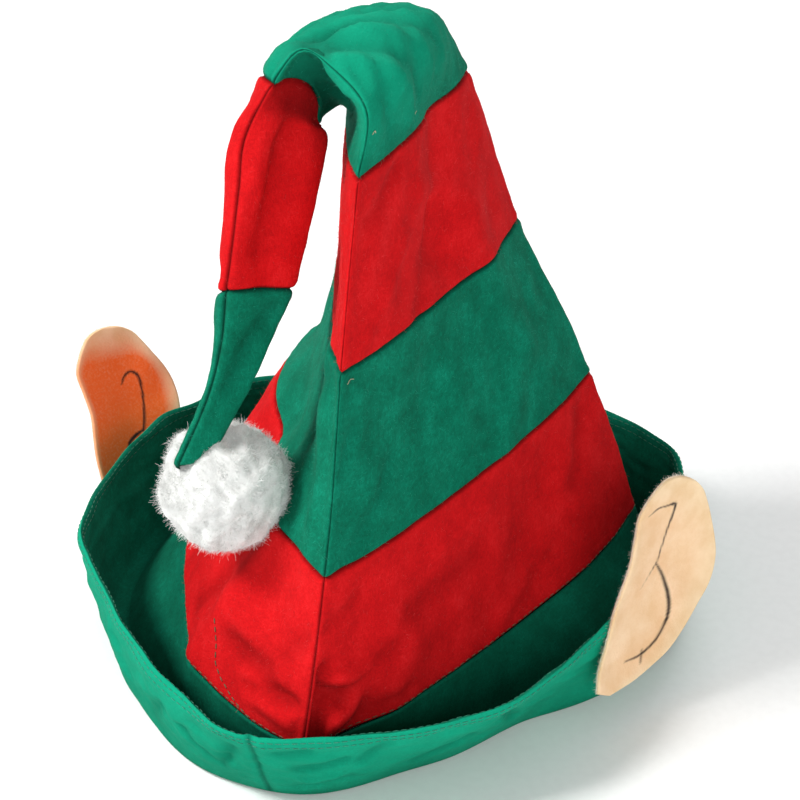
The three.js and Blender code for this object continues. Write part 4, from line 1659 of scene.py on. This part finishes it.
@dataclass
class Ear:
    """One foam ear with its orange tint and drawn lines."""

    name: str
    hand: int
    out: float
    back: float
    lift: float
    turn: float
    lean: float
    tip: float
    blush: float
    broad: float
    long: float
    cone: Cone
    brim: Brim
    materials: Materials
    wide: float = 0.053
    thick: float = 0.0024
    cup: float = 0.004
    lines: tuple[tuple[InkRow, ...], ...] = ()

    def outline(self, along: Array) -> tuple[Array, Array]:
        """Front and back edges at some heights, in metres.

        Args:
            along: Shares of the ear's length.

        Returns:
            Both edges.
        """
        keys = np.array([r.along for r in EAR_ROWS])
        edges = curve_at(keys, np.array([[r.front, r.back * self.broad] for r in EAR_ROWS]), along) * self.wide
        return edges[..., 0], edges[..., 1]

    def world(self, local: Array) -> Array:
        """Points of the ear in the hat's frame.

        Args:
            local: Points from the ear's foot.

        Returns:
            The same points in the frame.
        """
        a, b, c = (math.radians(v) for v in (self.tip, self.lean, self.turn))
        about_x = np.array([[1, 0, 0], [0, math.cos(a), -math.sin(a)], [0, math.sin(a), math.cos(a)]])
        about_y = np.array([[math.cos(b), 0, math.sin(b)], [0, 1, 0], [-math.sin(b), 0, math.cos(b)]])
        about_z = np.array([[math.cos(c), -math.sin(c), 0], [math.sin(c), math.cos(c), 0], [0, 0, 1]])
        foot = np.array([
            self.hand * self.cone.head_wide / 2 + self.out * self.brim.reach,
            self.back * self.cone.head_deep,
            self.lift * self.brim.rise,
        ])
        return local @ (about_z @ about_y @ about_x).T + foot

    def build(self) -> None:
        """Builds, paints and dresses the ear and its soft edge."""
        edge = (0, 0.0002, 0.0005, 0.0009, 0.0014)
        levels = graded(self.long, 0.00075, edge)
        shares = graded(self.wide * 0.8, 0.00075, edge)
        rows, columns = len(levels), len(shares)
        along, share = (a.ravel() for a in np.meshgrid(levels, shares, indexing="ij"))
        front, back = self.outline(along)
        across = front + (back - front) * share
        hollow = self.cup * np.sin(np.pi * share) * np.sin(np.pi * along)
        rim = np.minimum(np.minimum(share, 1 - share) * (back - front), np.minimum(along, 1 - along) * self.long)
        part = np.clip(rim / 0.0011, 0, 1)
        half = self.thick / 2 * np.sqrt(np.maximum(1 - (1 - part) ** 2, 0.02))
        middle = hollow + self.thick / 2
        wave = 0.0003 * ripple(np.column_stack([across, middle, along * self.long]), 0.02, 31)
        face = np.column_stack([across, middle - half + wave, along * self.long])
        rear = np.column_stack([across, middle + half + wave, along * self.long])
        points = self.world(np.concatenate([face, rear]))
        piece = mesh_piece(self.name + "_foam", points, slab_faces(rows, columns), self.materials.of(EAR_FOAM))
        ink, orange_tint = self.paint(along, across)
        add_values(piece, "ink", np.concatenate([ink, np.zeros_like(ink)]))
        add_values(piece, "blush", np.concatenate([orange_tint, np.zeros_like(orange_tint)]))
        dress(piece, (self.name,))
        count = rows * columns
        rim_faces = [
            (k * columns, (k + 1) * columns, (k + 1) * columns + count, k * columns + count) for k in range(rows - 1)
        ]
        fluff = self.materials.of(EAR_FLUFF)
        helper = mesh_piece(self.name + "_rim", points, rim_faces, fluff)
        dress(fibres(helper, self.name + "_fluff", fluff, EAR_RIM_COAT))

    def paint(self, along: Array, across: Array) -> tuple[Array, Array]:
        """How dark the drawn lines and the orange tint are at each point.

        Args:
            along: How far up the ear, as a share of its length.
            across: How far across, in metres.

        Returns:
            The lines' strength and the shading's, each 0 to 1.
        """
        spot = np.column_stack([across, along * self.long])
        ink = np.zeros(len(spot))
        glow = np.zeros(len(spot))
        for line in self.lines:
            nodes = np.array([[r.across * self.wide, r.along * self.long, r.wide] for r in line])
            keys = np.concatenate([[0], np.cumsum(np.linalg.norm(np.diff(nodes[:, :2], axis=0), axis=1))])
            fine = curve_at(keys, nodes, np.linspace(0, keys[-1], 70))
            away = np.linalg.norm(spot[:, None] - fine[None, :, :2], axis=2)
            nearest = away.argmin(1)
            distance, wide = away.min(1), fine[nearest, 2]
            ink = np.maximum(ink, np.clip(1 - (distance - wide / 2) / 0.0005, 0, 1) * np.clip(wide / 0.00015, 0.3, 1))
            glow = np.maximum(glow, np.exp(-((distance / 0.007) ** 2)))
        front, back = self.outline(along)
        share = (across - front) / np.maximum(back - front, 1e-6)
        past_back, past_top = np.maximum(share - 0.72, 0) / 0.2, np.maximum(along - 0.74, 0) / 0.17
        inner = np.exp(-(past_back**2)) * np.exp(-(past_top**2))
        inner = inner * (1 - 0.6 * np.exp(-((share / 0.07) ** 2)))
        return ink, np.clip(self.blush * (0.25 * glow + 0.95 * inner), 0, 0.97)


@dataclass
class Pompom:
    """The white pile ball at the tail's tip."""

    cone: Cone
    materials: Materials
    wide: float = 0.055
    side: float = 0.15
    back: float = 0.23
    down: float = 0.28
    core_share: float = 0.9
    root_share: float = 0.86
    lump: float = 0.0016

    def middle(self) -> Array:
        """The ball's middle, from the middle of the opening.

        Returns:
            The middle.
        """
        seams = np.stack([self.cone.smooth(np.array([6.0]), g, np.zeros(1))[0] for g in range(3)])
        way = np.array([self.side, self.back, -self.down]) * self.wide
        return seams.mean(0) + way

    def ball(self, radius: float, name: str, finish: PileFinish, lumps: float, levels: int) -> bpy.types.Object:
        """A lumpy ball.

        Args:
            radius: Its radius.
            name: Its name.
            finish: Its finish.
            lumps: How high its lumps are.
            levels: How finely it is divided.

        Returns:
            The ball.
        """
        shell = bmesh.new()
        bmesh.ops.create_icosphere(shell, subdivisions=levels, radius=1)
        points = np.array([v.co for v in shell.verts])
        faces = [[v.index for v in f.verts] for f in shell.faces]
        shell.free()
        height = lumps * (ripple(points * radius, 0.013, 41) + 0.5 * ripple(points * radius, 0.006, 43))
        return mesh_piece(name, self.middle() + points * (radius + height)[:, None], faces, self.materials.of(finish))

    def build(self) -> None:
        """Builds the core and two coats of pile."""
        radius = self.wide / 2
        core = self.ball(radius * self.core_share, "pompom_core", WHITE_CORE, self.lump, 5)
        dress(core, ("pompom",))
        pile = self.materials.of(WHITE_PILE)
        under = self.ball(radius * self.root_share, "pompom_under_ground", WHITE_PILE, self.lump, 5)
        dress(fibres(under, "pompom_under", pile, PILE_UNDER))
        over = self.ball(radius * self.root_share, "pompom_over_ground", WHITE_PILE, self.lump, 5)
        dress(fibres(over, "pompom_over", pile, PILE_OVER))


@dataclass
class Studio:
    """Floor, lights, world and camera."""

    materials: Materials
    target: Triple = (0.02911, -0.00764, 0.128)
    azimuth: float = 27
    elevation: float = 35
    distance: float = 1.0
    lens: float = 112.5

    def aim(self, thing: bpy.types.Object, place: Vector, at: Vector) -> None:
        """Puts a camera or lamp at a place, looking at a point.

        Args:
            thing: The camera or lamp.
            place: Where it stands.
            at: What it looks at.
        """
        thing.location = place
        thing.rotation_mode = "QUATERNION"
        thing.rotation_quaternion = (at - place).to_track_quat("-Z", "Y")
        bpy.context.scene.collection.objects.link(thing)

    def lamp(self, name: str, place: Triple, wide: float, power: float, tint: Colour) -> None:
        """A square soft light aimed at the hat.

        Args:
            name: Its name.
            place: Where it stands.
            wide: Its side.
            power: Its watts.
            tint: Its colour.
        """
        light = bpy.data.lights.new(name, "AREA")
        light.size, light.energy, light.color = wide, power, tint
        self.aim(bpy.data.objects.new(name, light), Vector(place), Vector((0, 0, 0.12)))

    def build(self) -> None:
        """Builds the floor, the lights, the world and the camera."""
        bpy.ops.mesh.primitive_plane_add(size=6)
        floor = bpy.context.object
        floor.name = "studio_floor"
        floor.data.materials.append(self.materials.of(PALE_FLOOR))
        self.lamp("key", (-1.0, -0.75, 1.45), 0.5, 35, (1.0, 0.995, 0.98))
        self.lamp("fill", (1.0, -1.2, 0.75), 1.0, 16, (0.98, 0.99, 1.0))
        self.lamp("back", (-0.3, 1.2, 1.1), 0.9, 9, (1.0, 1.0, 1.0))
        bpy.context.scene.view_settings.view_transform = "Standard"
        world = bpy.data.worlds.new("studio_world")
        world.use_nodes = True
        background = world.node_tree.nodes["Background"]
        background.inputs["Color"].default_value = (1, 1, 1, 1)
        background.inputs["Strength"].default_value = 0.4
        bpy.context.scene.world = world
        a, e = math.radians(self.azimuth), math.radians(self.elevation)
        way = Vector((math.sin(a) * math.cos(e), -math.cos(a) * math.cos(e), math.sin(e)))
        data = bpy.data.cameras.new("camera")
        data.lens, data.sensor_width = self.lens, 36
        data.clip_start, data.clip_end = 0.05, 20
        camera = bpy.data.objects.new("camera", data)
        self.aim(camera, Vector(self.target) + way * self.distance, Vector(self.target))
        bpy.context.scene.camera = camera


# The drawn lines on the right ear: the curl and its long tail, the main stroke, a tick, a fold
RIGHT_LINES: tuple[tuple[InkRow, ...], ...] = (
    (
        InkRow(0.8, -0.23, 0.00012), InkRow(0.84, -0.16, 0.00024), InkRow(0.86, -0.07, 0.00036),
        InkRow(0.875, 0.01, 0.00097), InkRow(0.84, 0.04, 0.0008), InkRow(0.765, 0.065, 0.00049),
        InkRow(0.68, 0.09, 0.00036), InkRow(0.61, 0.11, 0.00031),
    ),
    (
        InkRow(0.605, 0.1, 0.00031), InkRow(0.552, 0.255, 0.00103), InkRow(0.465, 0.4, 0.00146),
        InkRow(0.388, 0.46, 0.00122), InkRow(0.325, 0.445, 0.0008), InkRow(0.255, 0.385, 0.00061),
        InkRow(0.198, 0.295, 0.00061), InkRow(0.158, 0.152, 0.00019),
    ),
    (InkRow(0.222, 0.3, 0.00012), InkRow(0.2, 0.31, 0.00043), InkRow(0.165, 0.32, 0.00012)),
    (InkRow(0.61, 0.11, 0.00019), InkRow(0.537, 0.07, 0.00007), InkRow(0.478, 0.03, 0.00003)),
)

# The drawn lines on the left ear
LEFT_LINES: tuple[tuple[InkRow, ...], ...] = (
    (
        InkRow(0.71, 0.1, 0.00024), InkRow(0.745, 0.12, 0.00066), InkRow(0.768, 0.18, 0.00073),
        InkRow(0.745, 0.245, 0.0008), InkRow(0.685, 0.277, 0.00061), InkRow(0.62, 0.292, 0.00061),
        InkRow(0.54, 0.292, 0.00066), InkRow(0.47, 0.275, 0.0008),
    ),
    (
        InkRow(0.475, 0.275, 0.00036), InkRow(0.45, 0.2, 0.00122), InkRow(0.42, 0.142, 0.00109),
        InkRow(0.383, 0.118, 0.00073), InkRow(0.33, 0.08, 0.00061), InkRow(0.25, 0.06, 0.00024),
    ),
)


def main() -> None:
    """Builds the hat piece by piece, then the studio."""
    logging.basicConfig(level=logging.INFO, format="%(name)s %(message)s")
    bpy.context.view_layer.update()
    materials = Materials()
    cone = Cone()
    striped = StripedCone(cone, materials)
    striped.build()
    striped.sew()
    striped.nap(6000, (0, 2, 4), "red_nap_fibres", RED_NAP, "red_felt", 61)
    striped.nap(6000, (1, 3, 5), "green_nap_fibres", GREEN_NAP, "green_felt", 67)
    brim = Brim(cone, materials)
    brim.build()
    places = (
        ("ear_right", 1, 0.58, -0.05, 0.39, 61, 33, -10, 0.1, 1.0, 0.096, RIGHT_LINES),
        ("ear_left", -1, -0.845, 0.047, 0.08, 56, 12, -27, 1.3, 0.82, 0.0925, LEFT_LINES),
    )
    for *place, lines in places:
        Ear(*place, cone, brim, materials, lines=lines).build()
    Pompom(cone, materials).build()
    Studio(materials).build()


if __name__ == "__main__":
    main()
